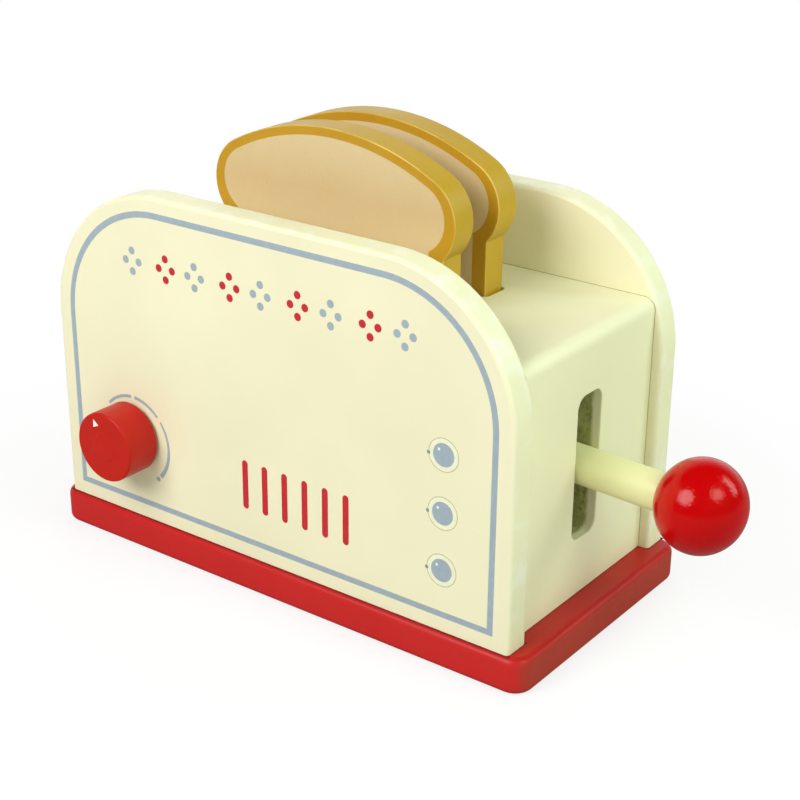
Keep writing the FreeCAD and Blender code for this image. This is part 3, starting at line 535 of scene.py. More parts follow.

# %% [markdown]
# The crust colour of the slices is brushed on in a thinner coat. It follows the edge of the board,
# so it is streaky along the rim and cloudy. The arrises get a fine paler line in patches: rubbed
# wear with a painted highlight, where the sharp edge catches the light. The faces along Y are
# painted a warmer orange than the rim. That is painted light, for the different light on the faces
# and on the rim. An arris is found by its normal: on the flat faces it points along Y, on the rim
# it doesn't, and only on the rounded arris it lies between.

# %% Crust paint
STREAK = (60, 700, 60)
# painted light: a warmer orange for the faces that look along Y
CRUST_FACE_PAINTED_LIGHT = (0.515, 0.275, 0.012)
# the arris line: rubbed wear with a painted highlight
CRUST_WEAR_AND_HIGHLIGHT = (0.80, 0.56, 0.14)
STREAK_LIMITS = (0.35, 0.7)
STREAK_SHARE = 0.22
STREAK_LIGHTER = 1.25
# parts of the normal along Y: the face takes its painted light, and the arris begins and ends
FACE_PAINTED_LIGHT = (0.7, 1.0)
ARRIS_BEGINS = (0.1, 0.4)
ARRIS_ENDS = (0.75, 0.97)
WEAR_AND_HIGHLIGHT = (0.1, 0.8)


def make_crust_paint():
    material, tree, shader, place, tint = paint("crust_paint", CRUST, 0.38, gloss=0.4, mottle=0.07)
    across = facing_along(tree, "Y")
    # painted light on the faces along Y
    painted_face_light = mix_colours(tree, remap(tree, across, *FACE_PAINTED_LIGHT), tint, CRUST_FACE_PAINTED_LIGHT)
    streaks = cloudy(tree, stretched(tree, place, STREAK), 1.0, 3, STREAK_LIMITS)
    lighter = shaded(CRUST, STREAK_LIGHTER)
    streaky = mix_colours(tree, times(tree, streaks, STREAK_SHARE), painted_face_light, lighter)
    begun = remap(tree, across, *ARRIS_BEGINS)
    arris = times(tree, begun, remap(tree, across, *ARRIS_ENDS, 1.0, 0.0))
    # rubbed wear and painted highlight along the arris
    wear_and_highlight = times(tree, arris, cloudy(tree, place, 55, 3, CRISP_CLOUDS, *WEAR_AND_HIGHLIGHT))
    feed(shader, "Base Color", mix_colours(tree, wear_and_highlight, streaky, CRUST_WEAR_AND_HIGHLIGHT))
    return material


crust_paint = make_crust_paint()
print("crust streaked by", STREAK_SHARE, "and rubbed and highlighted by", WEAR_AND_HIGHLIGHT)

# %% [markdown]
# ## Bare board in the slots
#
# Spray only reaches a few millimetres into a slot. Beyond that, the cut edge of the fibreboard is
# bare: darker, rough and speckled. One material does both. It compares the place on the board with
# the inside of the slot, and blurs the border with a little noise, as overspray does.

# %% Cream paint that ends inside a slot
FIBREBOARD = (0.50, 0.505, 0.205)
FIBRE_DARK = (0.26, 0.265, 0.080)
OVERSPRAY = 3.8 * MM
SOFT_EDGE = 0.7 * MM
SHARP_EDGE = 0.05 * MM
FIBRE_LIMITS = (0.38, 0.62)
FIBRE_DEPTH = 0.10 * MM
BARE_ROUGHNESS = 0.95


def bare_inside(name, limits):
    """Cream paint, bare where all limits hold. A limit is (axis, middle, half width, edge)."""
    material, tree, shader, place, tint = paint(name, CREAM, CREAM_ROUGHNESS)
    drift = cloudy(tree, place, 300, 3, new_low=-1.0)
    bare = 1.0
    for axis, middle, half, edge in limits:
        from_middle = calculate(tree, "SUBTRACT", part_of(tree, place, axis), middle)
        away = calculate(tree, "ABSOLUTE", from_middle)
        away = calculate(tree, "ADD", away, times(tree, drift, edge / 2))
        within = remap(tree, away, half - edge, half + edge, 1.0, 0.0)
        bare = times(tree, within, bare)
    fibres = cloudy(tree, place, 650, 4, FIBRE_LIMITS)
    stains = cloudy(tree, place, 110, 3, CRISP_CLOUDS)
    speckled = mix_colours(tree, times(tree, fibres, stains), FIBREBOARD, FIBRE_DARK)
    feed(shader, "Base Color", mix_colours(tree, bare, tint, speckled))
    feed(shader, "Roughness", remap(tree, bare, 0, 1, CREAM_ROUGHNESS, BARE_ROUGHNESS))
    feed(shader, "Normal", bump(tree, times(tree, fibres, bare), FIBRE_DEPTH))
    return material


end_low, end_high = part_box("right_end_board")
LEVER_SLOT_HALF_WIDTH = 8.9 * MM
LEVER_SLOT_MIDDLE = 68.2 * MM
LEVER_SLOT_HALF_HEIGHT = 30.2 * MM
lever_slot_paint = bare_inside("lever_slot_paint", [
    ("X", end_low.x, end_high.x - end_low.x - OVERSPRAY, SOFT_EDGE),
    ("Y", 0.0, LEVER_SLOT_HALF_WIDTH, SHARP_EDGE),
    ("Z", LEVER_SLOT_MIDDLE, LEVER_SLOT_HALF_HEIGHT, SHARP_EDGE),
])
top_low, top_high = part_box("top_board")
TOAST_SLOT_REACH = 56.5 * MM
toast_slot_paint = bare_inside("toast_slot_paint", [
    ("X", 0.0, TOAST_SLOT_REACH, SHARP_EDGE),
    ("Z", top_low.z, top_high.z - top_low.z - OVERSPRAY, SOFT_EDGE),
])
print("overspray ends", OVERSPRAY, "m inside the slots")

# %% [markdown]
# ## Bare wood, spring wire and plated steel
#
# Dowels, the lift block and the knob's washer and collar stay unpainted, because nobody sees them
# and paint would make them stick. Their grain is noise stretched along the fibres. The springs are
# drawn wire and the screws are plated, so both are metal with a faint cloud in their shine.

# %% Wood and steel
WOOD_LIGHT = (0.68, 0.50, 0.30)
WOOD_DARK = (0.50, 0.33, 0.17)
WOOD_ROUGHNESS = (0.75, 0.6)  # of the dark and of the light wood
GRAIN_DEPTH = 0.05 * MM
STEEL_DARKER = 0.85
STEEL_DULLER = 1.3


def bare_wood(name, grain):
    """Unpainted wood. Grain is how often the pattern repeats along X, Y and Z."""
    material, tree, shader = new_finish(name, 0.3)
    place = stretched(tree, place_on_piece(tree), grain)
    rings = cloudy(tree, place, 1.0, 4, CRISP_CLOUDS)
    feed(shader, "Base Color", mix_colours(tree, rings, WOOD_DARK, WOOD_LIGHT))
    feed(shader, "Roughness", remap(tree, rings, 0, 1, *WOOD_ROUGHNESS))
    feed(shader, "Normal", bump(tree, rings, GRAIN_DEPTH))
    return material


def steel(name, colour, roughness, scale):
    material, tree, shader = new_finish(name)
    shader.inputs["Metallic"].default_value = 1.0
    cloud = cloudy(tree, place_on_piece(tree), scale, 3)
    darker = shaded(colour, STEEL_DARKER)
    feed(shader, "Base Color", mix_colours(tree, cloud, darker, colour))
    feed(shader, "Roughness", remap(tree, cloud, 0, 1, roughness * STEEL_DULLER, roughness))
    return material


upright_wood = bare_wood("upright_wood", (300, 300, 14))
long_wood = bare_wood("long_wood", (12, 160, 260))
cross_wood = bare_wood("cross_wood", (300, 14, 300))
spring_wire = steel("spring_wire", (0.55, 0.55, 0.56), 0.25, 900)
plated_steel = steel("plated_steel", (0.66, 0.66, 0.62), 0.32, 500)
print("wood grain stands", GRAIN_DEPTH, "m high")

# %% [markdown]
# ### Which piece gets which finish
#
# A toymaker paints the pieces before they are glued up, so each piece has one finish all over. A
# list of pieces under each finish is easier to check than a finish set piece by piece. The solids
# themselves stay as they are, and only their materials are changed.

# %% Give each solid piece its finish
FINISHES = {
    panel_paint: ["front_panel", "rear_panel"],
    cream_paint: ["left_end_board"],
    lever_slot_paint: ["right_end_board"],
    toast_slot_paint: ["top_board"],
    base_paint: ["base_board"],
    knob_paint: ["knob", "knob_axle"],
    ball_paint: ["lever_ball"],
    rod_paint: ["lever_rod"],
    crust_paint: ["toast_front", "toast_rear"],
    upright_wood: ["top_board_dowels", "left_guide_dowel", "right_guide_dowel"],
    cross_wood: ["panel_dowels", "knob_washer", "knob_collar"],
    long_wood: ["lift_block"],
    plated_steel: ["spring_washers"],
}
for finish, names in FINISHES.items():
    for name in names:
        for material_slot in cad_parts[name].material_slots:
            material_slot.material = finish
    print(finish.name, "on", ", ".join(names))

# %% [markdown]
# ## Printing the front
#
# The print is laid on the finished paint with a stencil, so it stands up from it by a few
# hundredths of a millimetre. It could be drawn inside the material, but small crisp marks then need
# a lot of arithmetic. A thin film of ink is nearer to the real thing: each mark is an outline with
# a thickness, sunk a little into the board so that no light gets under it.

# %% Inks
INK_GRAIN = 0.01 * MM
INK_SPREAD = 0.05
INK_SHINE_SPREAD = 0.1


def ink(name, colour, roughness=0.5):
    """Stencil ink: nearly even, with the grain of the mesh that it was pressed through."""
    material, tree, shader = new_finish(name, 0.4)
    place = place_on_piece(tree)
    patchy = cloudy(tree, place, 350, 3)
    thin, thick = shaded(colour, 1 - INK_SPREAD), shaded(colour, 1 + INK_SPREAD)
    feed(shader, "Base Color", mix_colours(tree, patchy, thin, thick))
    most, least = roughness * (1 + INK_SHINE_SPREAD), roughness * (1 - INK_SHINE_SPREAD)
    feed(shader, "Roughness", remap(tree, patchy, 0, 1, most, least))
    feed(shader, "Normal", bump(tree, noise(tree, place, 1500, 1), INK_GRAIN))
    return material


blue_grey_ink = ink("blue_grey_ink", (0.348, 0.428, 0.478))
red_ink = ink("red_ink", (0.57, 0.016, 0.026))
pale_ink = ink("pale_ink", (0.86, 0.87, 0.62))
pip_ink = ink("pip_ink", (0.29, 0.30, 0.27))
ring_ink = ink("ring_ink", (0.56, 0.52, 0.28))
white_ink = ink("white_ink", (0.93, 0.90, 0.86))
print("ink grain", INK_GRAIN, "m")

# %% [markdown]
# ### Closed pieces
#
# Each piece that is added from here on is a closed mesh, so that it has an inside and an outside.
# Blender can then turn its faces outwards by itself, which is safer than minding the order of every
# corner.

# %% Closed pieces
import bmesh


def closed_mesh(name, verts, faces):
    """A mesh with all its faces turned outwards."""
    mesh = bpy.data.meshes.new(name)
    mesh.from_pydata(verts, [], faces)
    shell = bmesh.new()
    shell.from_mesh(mesh)
    bmesh.ops.recalc_face_normals(shell, faces=shell.faces)
    shell.to_mesh(mesh)
    shell.free()
    return mesh


def make_piece(name, verts, faces, material, body=None):
    """A closed piece that rides on a body of the toy."""
    mesh = closed_mesh(name, verts, faces)
    mesh.materials.append(material)
    piece = into_scene(bpy.data.objects.new(name, mesh))
    if body:
        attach(piece, body)
    print(name, len(mesh.vertices), "points")
    return piece


# %% [markdown]
# ### Films
#
# A mark is drawn as a flat outline and then laid on a face of the toy. Which face that is, and
# which way is up from it, is said by a small function, so the same outline serves the front and the
# back of a board.

# %% Films on a face
INK_HEIGHT = 0.04 * MM
INK_SINK = 0.05 * MM


def on_front(y):
    """Puts a point of an outline, at a height above the face, on a face towards -Y."""
    return lambda u, v, height: (u, y - height, v)


def on_back(y):
    return lambda u, v, height: (u, y + height, v)


def film(name, material, outlines, put, body, holes=None):
    """A film of ink. Every outline is a closed shape; a hole is an outline with as many points."""
    verts, faces = [], []
    for index, outline in enumerate(outlines):
        loops = [outline] + ([holes[index]] if holes else [])
        count = len(outline)
        first = len(verts)
        for height in (INK_HEIGHT, -INK_SINK):
            for loop in loops:
                verts += [put(u, v, height) for u, v in loop]
        layer = count * len(loops)
        for step in range(count):
            after = (step + 1) % count
            for loop_index in range(len(loops)):
                a = first + loop_index * count + step
                b = first + loop_index * count + after
                faces.append((a, b, b + layer, a + layer))
            if holes:
                for outer in (first, first + layer):
                    inner = outer + count
                    faces.append((outer + step, outer + after, inner + after, inner + step))
        if not holes:
            faces.append(tuple(range(first, first + count)))
            faces.append(tuple(range(first + layer, first + layer + count)))
    return make_piece(name, verts, faces, material, body)


print("ink stands", INK_HEIGHT, "m above the paint")

# %% [markdown]
# ### Round shapes
#
# Most marks are made of arcs: dots, round ends, shoulders and the scale. Straight steps along an
# arc are enough, as long as they are too short to be seen.

# %% Round shapes


def on_circle(centre, radius, angle):
    """The point of a circle at an angle in degrees from the right, anticlockwise."""
    turn = math.radians(angle)
    return centre[0] + radius * math.cos(turn), centre[1] + radius * math.sin(turn)


def arc(centre, radius, start, end, count):
    """Points of an arc between two angles."""
    turns = [start + (end - start) * step / (count - 1) for step in range(count)]
    return [on_circle(centre, radius, turn) for turn in turns]


def disc(centre, radius, count=40):
    return arc(centre, radius, 0, 360 - 360 / count, count)


# %% [markdown]
# ### The border line
#
# A blue-grey line runs round the front, square at the foot and round at the shoulders. It is one
# closed band: the same outline drawn twice, half a line's width outwards and inwards. All heights
# of the print are counted from the panel's foot, as a printer would set the stencil against the
# board's edge.

# %% Border line
panel_low, panel_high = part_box("front_panel")
front = on_front(panel_low.y)


def above_foot(millimetres):
    return panel_low.z + millimetres * MM


BORDER_HALF_LENGTH = 104.35 * MM
BORDER_FOOT = above_foot(7.1)
BORDER_TOP = above_foot(133.0)
BORDER_RADIUS = 49.4 * MM
BORDER_WIDTH = 2.5 * MM
SHOULDER_POINTS = 36


def border_outline(offset):
    half = BORDER_HALF_LENGTH + offset
    radius = BORDER_RADIUS + offset
    shoulder = BORDER_TOP + offset - radius
    foot = BORDER_FOOT - offset
    right = arc((half - radius, shoulder), radius, 0, 90, SHOULDER_POINTS)
    left = arc((radius - half, shoulder), radius, 90, 180, SHOULDER_POINTS)
    return [(-half, foot), (half, foot), *right, *left]


film(
    "border_line",
    blue_grey_ink,
    [border_outline(BORDER_WIDTH / 2)],
    front,
    "root",
    holes=[border_outline(-BORDER_WIDTH / 2)],
)

# %% [markdown]
# ### Dots and vent bars
#
# Nine little diamonds of four dots run along the top, grey and red in turn. Six upright red bars
# below stand for a vent. Each row is a loop over its places.

# %% Dots and vents
DIAMOND_PLACES = (-68.1, -50.2, -35.0, -17.0, -1.7, 16.3, 31.8, 49.8, 65.2)
DIAMOND_HEIGHT = above_foot(112.5)
DOT_RADIUS = 1.6 * MM
DOT_ASIDE = 3.5 * MM
DOT_ABOVE = 4.25 * MM

VENT_FIRST = -11.9 * MM
VENT_SPACING = 10.04 * MM
VENT_COUNT = 6
VENT_LOW = above_foot(21.2)
VENT_HIGH = above_foot(42.2)
VENT_RADIUS = 1.45 * MM
VENT_END_POINTS = 16


def diamond(place):
    """Four dots round the place."""
    x = place * MM
    aside = [disc((x + sign * DOT_ASIDE, DIAMOND_HEIGHT), DOT_RADIUS) for sign in (-1, 1)]
    above = [disc((x, DIAMOND_HEIGHT + sign * DOT_ABOVE), DOT_RADIUS) for sign in (-1, 1)]
    return aside + above


def vent_bar(x):
    upper = arc((x, VENT_HIGH - VENT_RADIUS), VENT_RADIUS, 0, 180, VENT_END_POINTS)
    lower = arc((x, VENT_LOW + VENT_RADIUS), VENT_RADIUS, 180, 360, VENT_END_POINTS)
    return upper + lower


grey_dots = [dot for place in DIAMOND_PLACES[0::2] for dot in diamond(place)]
red_dots = [dot for place in DIAMOND_PLACES[1::2] for dot in diamond(place)]
vents = [vent_bar(VENT_FIRST + index * VENT_SPACING) for index in range(VENT_COUNT)]
film("grey_dots", blue_grey_ink, grey_dots, front, "root")
film("red_dots", red_ink, red_dots, front, "root")
film("vent_bars", red_ink, vents, front, "root")

# %% [markdown]
# ### Three signal lights
#
# Each light is printed as a disc with a pale halo, a hair line round it, a pip on the line and a
# white glint, which makes the flat disc look like a lamp. The films don't overlap: the halo is a
# ring that starts where the disc ends.

# %% Signal lights
LIGHT_X = 82.65 * MM
LIGHT_HEIGHTS = (71.5, 48.4, 25.3)
LIGHT_RADIUS = 4.6 * MM
HALO_RADIUS = 6.3 * MM
HAIR_LINE = 0.35 * MM
PIP_PLACE = (-6.55 * MM, -0.5 * MM)
PIP_RADIUS = 0.75 * MM
GLINT_PLACE = (-2.1 * MM, 1.9 * MM)
GLINT_RADIUS = 0.55 * MM
SMALL_DISC_POINTS = 20

centres = [(LIGHT_X, above_foot(height)) for height in LIGHT_HEIGHTS]


def ring_set(name, material, outer, inner):
    outlines = [disc(centre, outer) for centre in centres]
    holes = [disc(centre, inner) for centre in centres]
    film(name, material, outlines, front, "root", holes=holes)


def marks_beside(place, radius):
    return [disc((x + place[0], z + place[1]), radius, SMALL_DISC_POINTS) for x, z in centres]


def on_top_of(put, layers):
    """The same face, raised so that one film can lie on others."""
    return lambda u, v, height: put(u, v, height + layers * INK_HEIGHT)


ring_set("light_halos", pale_ink, HALO_RADIUS, LIGHT_RADIUS)
ring_set("light_hair_lines", ring_ink, HALO_RADIUS + HAIR_LINE, HALO_RADIUS)
light_discs = [disc(centre, LIGHT_RADIUS) for centre in centres]
pips, glints = marks_beside(PIP_PLACE, PIP_RADIUS), marks_beside(GLINT_PLACE, GLINT_RADIUS)
film("light_discs", blue_grey_ink, light_discs, front, "root")
film("light_pips", pip_ink, pips, on_top_of(front, 1), "root")
film("light_glints", white_ink, glints, on_top_of(front, 1), "root")

# %% [markdown]
# ### The scale round the knob
#
# Three strokes of one circle swell or thin out like a volume scale, and end in a dot. A stroke is
# an outline of two arcs, one out and one back, whose distance follows the stroke's width. The print
# sits a little off the knob's centre, as it often does on such toys.

# %% Knob scale
SCALE_CENTRE = (-72.3 * MM, above_foot(34.3))
SCALE_RADIUS = 19.0 * MM
STROKE_POINTS = 24
# start and end angle in degrees, then the width at each end in millimetres
STROKES = (
    (137, 93, 1.2, 1.3),
    (87, 45, 1.5, 1.0),
    (38, -43, 0.9, 1.8),
)
SCALE_DOT_ANGLE = -49.5
SCALE_DOT_RADIUS = 1.1 * MM


def stroke(start, end, width_at_start, width_at_end):
    outside, inside = [], []
    for step in range(STROKE_POINTS):
        share = step / (STROKE_POINTS - 1)
        angle = start + (end - start) * share
        half = (width_at_start + (width_at_end - width_at_start) * share) / 2 * MM
        outside.append(on_circle(SCALE_CENTRE, SCALE_RADIUS + half, angle))
        inside.append(on_circle(SCALE_CENTRE, SCALE_RADIUS - half, angle))
    return outside + inside[::-1]


scale_dot = on_circle(SCALE_CENTRE, SCALE_RADIUS, SCALE_DOT_ANGLE)
scale_marks = [stroke(*shape) for shape in STROKES] + [disc(scale_dot, SCALE_DOT_RADIUS)]
film("knob_scale", blue_grey_ink, scale_marks, front, "root")

# %% [markdown]
# ### The knob's pointer and plug
#
# A white wedge on the knob's rim says how far it is turned. The hole for the axle goes through the
# knob, so its end shows in the face. It is filled and painted over, and only a faint ring stays.
# The ring could be a bump in the paint, but here it is a turned disc with a shallow groove.

# %% Pointer and plug
knob_low, knob_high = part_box("knob")
knob_centre = ((knob_low.x + knob_high.x) / 2, (knob_low.z + knob_high.z) / 2)
POINTER_ANGLE = 114
POINTER_TIP = 12.4 * MM
POINTER_FOOT = 9.5 * MM
POINTER_SPREAD = 10
pointer = [
    on_circle(knob_centre, POINTER_TIP, POINTER_ANGLE),
    on_circle(knob_centre, POINTER_FOOT, POINTER_ANGLE + POINTER_SPREAD),
    on_circle(knob_centre, POINTER_FOOT, POINTER_ANGLE - POINTER_SPREAD),
]
film("knob_pointer", white_ink, [pointer], on_front(knob_low.y), "knob")


def tube_faces(rings, points):
    """The faces that join rings of points into a tube, with both ends closed flat."""
    last = (rings - 1) * points
    faces = [tuple(range(points)), tuple(range(last, last + points))]
    for first in range(0, last, points):
        for point in range(points):
            a, b = first + point, first + (point + 1) % points
            faces.append((a, b, b + points, a + points))
    return faces


def turned(profile, points):
    """Vertices and faces of a turned solid, from pairs of radius and height."""
    verts = []
    for radius, height in profile:
        verts += [(x, y, height) for x, y in disc((0, 0), radius, points)]
    return verts, tube_faces(len(profile), points)


PLUG_PROFILE = [
    # radius, then height above the knob's face, in millimetres
    (6.6, -0.05),
    (6.5, 0.001),
    (5.0, 0.025),
    (4.3, 0.030),
    (4.05, -0.002),
    (3.8, 0.028),
    (1.0, 0.035),
]
PLUG_POINTS = 72
plug_profile = [(radius * MM, height * MM) for radius, height in PLUG_PROFILE]
plug_verts, plug_faces = turned(plug_profile, PLUG_POINTS)
plug_verts = [
    (knob_centre[0] + x, knob_low.y - height, knob_centre[1] + z) for x, z, height in plug_verts
]
plug = make_piece("knob_plug", plug_verts, plug_faces, knob_paint, "knob")
plug.data.shade_smooth()

# %% [markdown]
# ## Painted shade along the joints
#
# The box is glued together and screwed onto the base after all is painted, so a hair of shadow
# stays along each joint. A gap could be cut in the solids, but it would be thinner than a sheet of
# paper. A narrow film in a darker shade paints that shadow instead: one round the foot of each
# board on the base, and one on each panel's inner face, up one end of the box, over its top and
# down the other end.

# %% Painted joint shade
FOOT_LINE = 0.40 * MM
FOOT_LINE_DEPTH = 0.4 * MM
BOX_LINE = 0.28 * MM
BOX_CORNER = 5.0 * MM
BOX_CORNER_POINTS = 10
# painted shade: dark films where each joint holds a hair of shadow
foot_joint_shade = ink("foot_joint_shade", (0.22, 0.008, 0.004), 0.9)
box_joint_shade = ink("box_joint_shade", (0.50, 0.49, 0.25), 0.8)


def on_base(u, v, height):
    """A place on the base. The film reaches down to where the base's edge is already round."""
    return u, v, base_top + (height if height > 0 else -FOOT_LINE_DEPTH)


def foot_of(node):
    low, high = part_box(node)
    left, right = low.x - FOOT_LINE, high.x + FOOT_LINE
    near, far = low.y - FOOT_LINE, high.y + FOOT_LINE
    return [(left, near), (right, near), (right, far), (left, far)]


def round_box(grow):
    """The box's outline on a panel: up one end, over the top and down the other end."""
    side, shoulder = end_high.x - BOX_CORNER, top_high.z - BOX_CORNER
    corner = arc((side, shoulder), BOX_CORNER + grow, 0, 90, BOX_CORNER_POINTS)
    half = [(end_high.x + grow, base_top), *corner]
    return half + [(-x, z) for x, z in reversed(half)]


standing_boards = ("front_panel", "rear_panel", "left_end_board", "right_end_board")
film("foot_lines", foot_joint_shade, [foot_of(node) for node in standing_boards], on_base, "root")
box_line = round_box(BOX_LINE) + round_box(0.0)[::-1]
film("front_box_line", box_joint_shade, [box_line], on_back(panel_high.y), "root")
film("rear_box_line", box_joint_shade, [box_line], on_front(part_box("rear_panel")[0].y), "root")

# %% [markdown]
# ## Printing the slices
#
# Each slice is brushed with crust colour and then gets a pale crumb printed on both faces, inside
# the edge. The crumb has the slice's own shape with smaller arcs: a crown, two sides and a straight
# body. It is one more ink film. Its colour is warmer and darker in the middle, as toast is, and
# finely speckled.

# %% Crumb colour
CRUMB_LIGHT = (0.69, 0.545, 0.304)
CRUMB_TOASTED = (0.650, 0.473, 0.235)
TOASTED_BELOW_TOP = 25 * MM
TOASTED_REACH = 22 * MM
CRUMB_SPECK_LIMITS = (0.55, 0.75)
CRUMB_SPECK_SHARE = 0.12
CRUMB_SPECK_DARKER = 0.7
CRUMB_ROUGHNESS = (0.5, 0.6)
TOASTED_LEAST = 0.6
CRUMB_DEPTH = 0.012 * MM
toasted_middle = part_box("toast_front")[1].z - TOASTED_BELOW_TOP


def make_crumb_ink():
    material, tree, shader = new_finish("crumb_ink", 0.35)
    place = place_on_piece(tree)
    above_middle = calculate(tree, "SUBTRACT", part_of(tree, place, "Z"), toasted_middle)
    from_middle = calculate(tree, "ABSOLUTE", above_middle)
    toasted = remap(tree, from_middle, 0.0, TOASTED_REACH, 1.0, 0.0)
    clouds = cloudy(tree, place, 40, 3)
    share = times(tree, toasted, remap(tree, clouds, 0, 1, TOASTED_LEAST, 1.0))
    colour = mix_colours(tree, share, CRUMB_LIGHT, CRUMB_TOASTED)
    specks = times(tree, cloudy(tree, place, 900, 2, CRUMB_SPECK_LIMITS), CRUMB_SPECK_SHARE)
    speckled = mix_colours(tree, specks, colour, shaded(CRUMB_TOASTED, CRUMB_SPECK_DARKER))
    feed(shader, "Base Color", speckled)
    feed(shader, "Roughness", remap(tree, clouds, 0, 1, *CRUMB_ROUGHNESS))
    feed(shader, "Normal", bump(tree, noise(tree, place, 1200, 1), CRUMB_DEPTH))
    return material


crumb_ink = make_crumb_ink()
print("the crumb is darkest", round(toasted_middle, 4), "m up")

# %% [markdown]
# ### The crumb's outline
#
# The stencil for the crumb follows the slice at a distance that isn't even: close under the crown,
# wider along the body. The arcs of the side and of the crown touch without a corner, so the side's
# middle follows from the two radii, and the neck is where the side's arc meets the straight body.

# %% Crumb films
CRUST_ABOVE = 3.6 * MM
CRUST_ASIDE = 4.8 * MM
CRUST_ALONG_BODY = 11.6 * MM
CRUST_BELOW = 4.7 * MM
CROWN_RADIUS = 98.5 * MM
CRUMB_SIDE_RADIUS = 13.6 * MM
CRUMB_FOOT_RADIUS = 2.0 * MM
FOOT_POINTS, SIDE_POINTS, CROWN_POINTS = 8, 24, 48


def crumb_outline(low, high):
    """Outline of the crumb on a slice between two corners of its box."""
    middle = (low.x + high.x) / 2
    half = high.x - middle
    side_x = half - CRUST_ASIDE - CRUMB_SIDE_RADIUS
    crown_z = high.z - CRUST_ABOVE - CROWN_RADIUS
    side_z = crown_z + math.sqrt((CROWN_RADIUS - CRUMB_SIDE_RADIUS) ** 2 - side_x**2)
    join = math.degrees(math.atan2(side_z - crown_z, side_x))
    body_x = half - CRUST_ALONG_BODY
    neck = -math.degrees(math.acos((body_x - side_x) / CRUMB_SIDE_RADIUS))
    foot_x = body_x - CRUMB_FOOT_RADIUS
    foot_z = low.z + CRUST_BELOW + CRUMB_FOOT_RADIUS
    right = [
        *arc((foot_x, foot_z), CRUMB_FOOT_RADIUS, -90, 0, FOOT_POINTS),
        *arc((side_x, side_z), CRUMB_SIDE_RADIUS, neck, join, SIDE_POINTS),
    ]
    crown = arc((0, crown_z), CROWN_RADIUS, join, 180 - join, CROWN_POINTS)[1:-1]
    left = [(-x, z) for x, z in reversed(right)]
    return [(middle + x, z) for x, z in right + crown + left]


for body in ("toast_front", "toast_rear"):
    low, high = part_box(body)
    outline = crumb_outline(low, high)
    film(f"{body}_crumb_front", crumb_ink, [outline], on_front(low.y), body)
    film(f"{body}_crumb_back", crumb_ink, [outline], on_back(high.y), body)

# %% [markdown]
# ## Winding the springs
#
# Two compression springs carry the lift. The solid in the imported model has an eight-sided wire,
# which is enough for its weight and size. Here the wire is round. Its centre line is a helix with
# half a flat turn at each end, and a small ring of points is carried along it. The spring is held
# by the base at its foot and by the lift at its head.

# %% Springs
WIRE = 0.7 * MM
RISING_TURNS = 5.5
FLAT_TURNS = 0.5
STEPS_PER_TURN = 40
WIRE_POINTS = 12


def coil(name, node):
    low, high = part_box(node)
    centre_x = (low.x + high.x) / 2
    radius = (high.y - low.y) / 2 - WIRE / 2
    rise = high.z - low.z - WIRE
    turns = RISING_TURNS + 2 * FLAT_TURNS
    count = round(turns * STEPS_PER_TURN) + 1
    line = []
    for step in range(count):
        turn = step / STEPS_PER_TURN
        share = min(max((turn - FLAT_TURNS) / RISING_TURNS, 0), 1)
        angle = 2 * math.pi * (turn - FLAT_TURNS)
        x, y = radius * math.cos(angle), radius * math.sin(angle)
        line.append(Vector((x, y, WIRE / 2 + rise * share)) + Vector((centre_x, 0, low.z)))
    verts = []
    for index, place in enumerate(line):
        along = line[min(index + 1, count - 1)] - line[max(index - 1, 0)]
        outward = (place - Vector((centre_x, 0, place.z))).normalized()
        upward = along.normalized().cross(outward).normalized()
        for point in range(WIRE_POINTS):
            angle = 2 * math.pi * point / WIRE_POINTS
            aside = outward * math.cos(angle) + upward * math.sin(angle)
            verts.append(place + aside * WIRE / 2)
    faces = tube_faces(count, WIRE_POINTS)
    piece = make_piece(name, verts, faces, spring_wire)
    piece.data.shade_smooth()
    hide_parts(node)
    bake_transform(piece)


coil("left_coil", "left_spring")
coil("right_coil", "right_spring")

# %% [markdown]
# ## Cutting the screws
#
# Eight screws hold the boards from below and one holds the lever in the lift block. Their heads can
# be seen when the toy is turned over, so they get a cross for the screwdriver. The screw is a
# turned profile, and two tapered wedges are taken out of its head.

# %% Screws
SCREW_LENGTH = 30.0 * MM
LEVER_SCREW_LENGTH = 14.0 * MM
HEAD_RADIUS = 3.5 * MM
HEAD_HEIGHT = 2.2 * MM
HEAD_BEVEL = 0.15 * MM
HEAD_BEVEL_HEIGHT = 0.12 * MM
HEAD_RIM_HEIGHT = 0.3 * MM
SHANK_RADIUS = 1.75 * MM
TIP_LENGTH = 4.0 * MM
TIP_RADIUS = 0.15 * MM
TURN_POINTS = 40
CROSS_LENGTH = 4.2 * MM
CROSS_WIDTH = 1.0 * MM
CROSS_DEPTH = 1.5 * MM
CROSS_TAPER = 0.55
CROSS_OPEN_BELOW = 0.5 * MM


def turned_screw(length):
    """A closed screw with its head down at height 0, before its cross is cut."""
    profile = [
        (HEAD_RADIUS - HEAD_BEVEL, 0),
        (HEAD_RADIUS, HEAD_BEVEL_HEIGHT),
        (HEAD_RADIUS, HEAD_RIM_HEIGHT),
        (SHANK_RADIUS, HEAD_HEIGHT),
        (SHANK_RADIUS, length - TIP_LENGTH),
        (TIP_RADIUS, length),
    ]
    return closed_mesh("turned_screw", *turned(profile, TURN_POINTS))


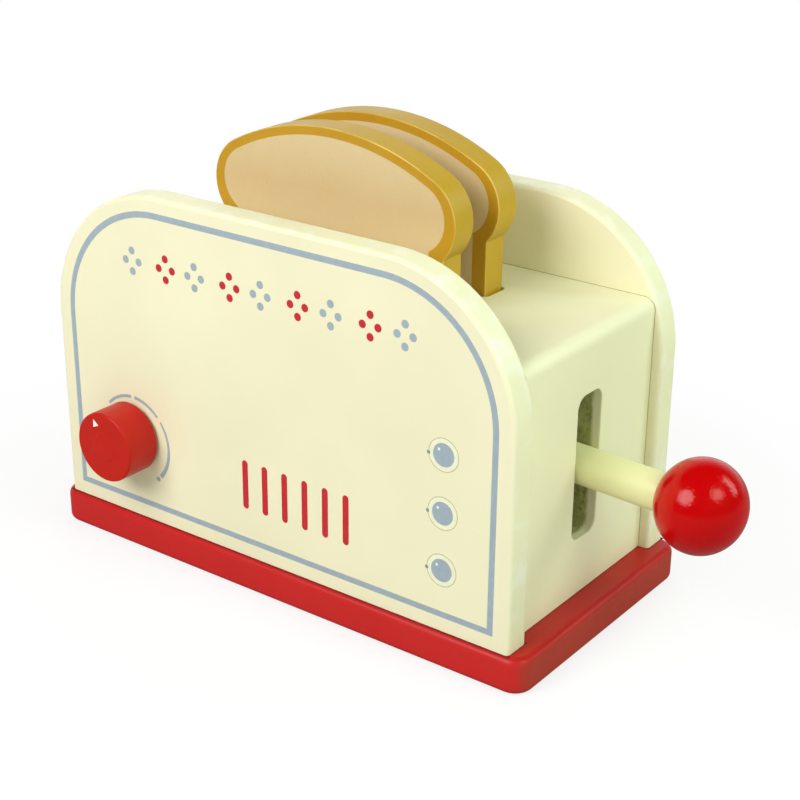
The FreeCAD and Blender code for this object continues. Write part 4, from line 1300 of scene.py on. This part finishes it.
def cross_arm(angle):
    """A wedge that a cross screwdriver leaves, open below the head and narrower inside."""
    verts = []
    for height, size in ((-CROSS_OPEN_BELOW, 1.0), (CROSS_DEPTH, CROSS_TAPER)):
        verts += rectangle(CROSS_LENGTH / 2 * size, CROSS_WIDTH / 2 * size, height)
    mesh = closed_mesh("cross_arm", verts, tube_faces(2, 4))
    mesh.transform(Matrix.Rotation(angle, 4, "Z"))
    return into_scene(bpy.data.objects.new("cross_arm", mesh))


def cut_screw(length):
    screw = into_scene(bpy.data.objects.new("screw", turned_screw(length)))
    arms = [cross_arm(angle) for angle in (0, math.pi / 2)]
    for arm in arms:
        cutter = screw.modifiers.new("cross", "BOOLEAN")
        cutter.operation = "DIFFERENCE"
        cutter.solver = "EXACT"
        cutter.object = arm
    evaluated = screw.evaluated_get(bpy.context.evaluated_depsgraph_get())
    mesh = bpy.data.meshes.new_from_object(evaluated)
    for thing in (screw, *arms):
        bpy.data.objects.remove(thing)
    return mesh


def set_screws(name, length, places, body, node):
    """The same screw at every place, as one piece."""
    template = cut_screw(length)
    verts, faces = [], []
    for place in places:
        first = len(verts)
        verts += [vert.co + Vector(place) for vert in template.vertices]
        faces += [tuple(first + index for index in face.vertices) for face in template.polygons]
    piece = make_piece(name, verts, faces, plated_steel, body)
    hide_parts(node)


PANEL_SCREW_X = 80.0 * MM
END_SCREW_Y = 18.0 * MM
screws_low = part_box("base_screws")[0]
panel_screw_y = -(panel_low.y + panel_high.y) / 2
end_screw_x = (end_low.x + end_high.x) / 2
base_places = []
for sign_x in (-1, 1):
    for sign_y in (-1, 1):
        base_places.append((sign_x * PANEL_SCREW_X, sign_y * panel_screw_y, screws_low.z))
        base_places.append((sign_x * end_screw_x, sign_y * END_SCREW_Y, screws_low.z))
set_screws("cut_base_screws", SCREW_LENGTH, base_places, "root", "base_screws")
lever_screw_low, lever_screw_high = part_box("lever_screw")
lever_screw_x = (lever_screw_low.x + lever_screw_high.x) / 2
lever_place = (lever_screw_x, 0, lever_screw_low.z)
set_screws("cut_lever_screw", LEVER_SCREW_LENGTH, [lever_place], "lift", "lever_screw")

# %% [markdown]
# ## Measure and finish
#
# Ink, coils and screws add to the toy, so its size is printed once more, to set beside the size of
# the imported model. Ink, coils and screws must stay within the size of the imported model.

low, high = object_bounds()
print("the dressed toy spans", [round(side, 4) for side in high - low])
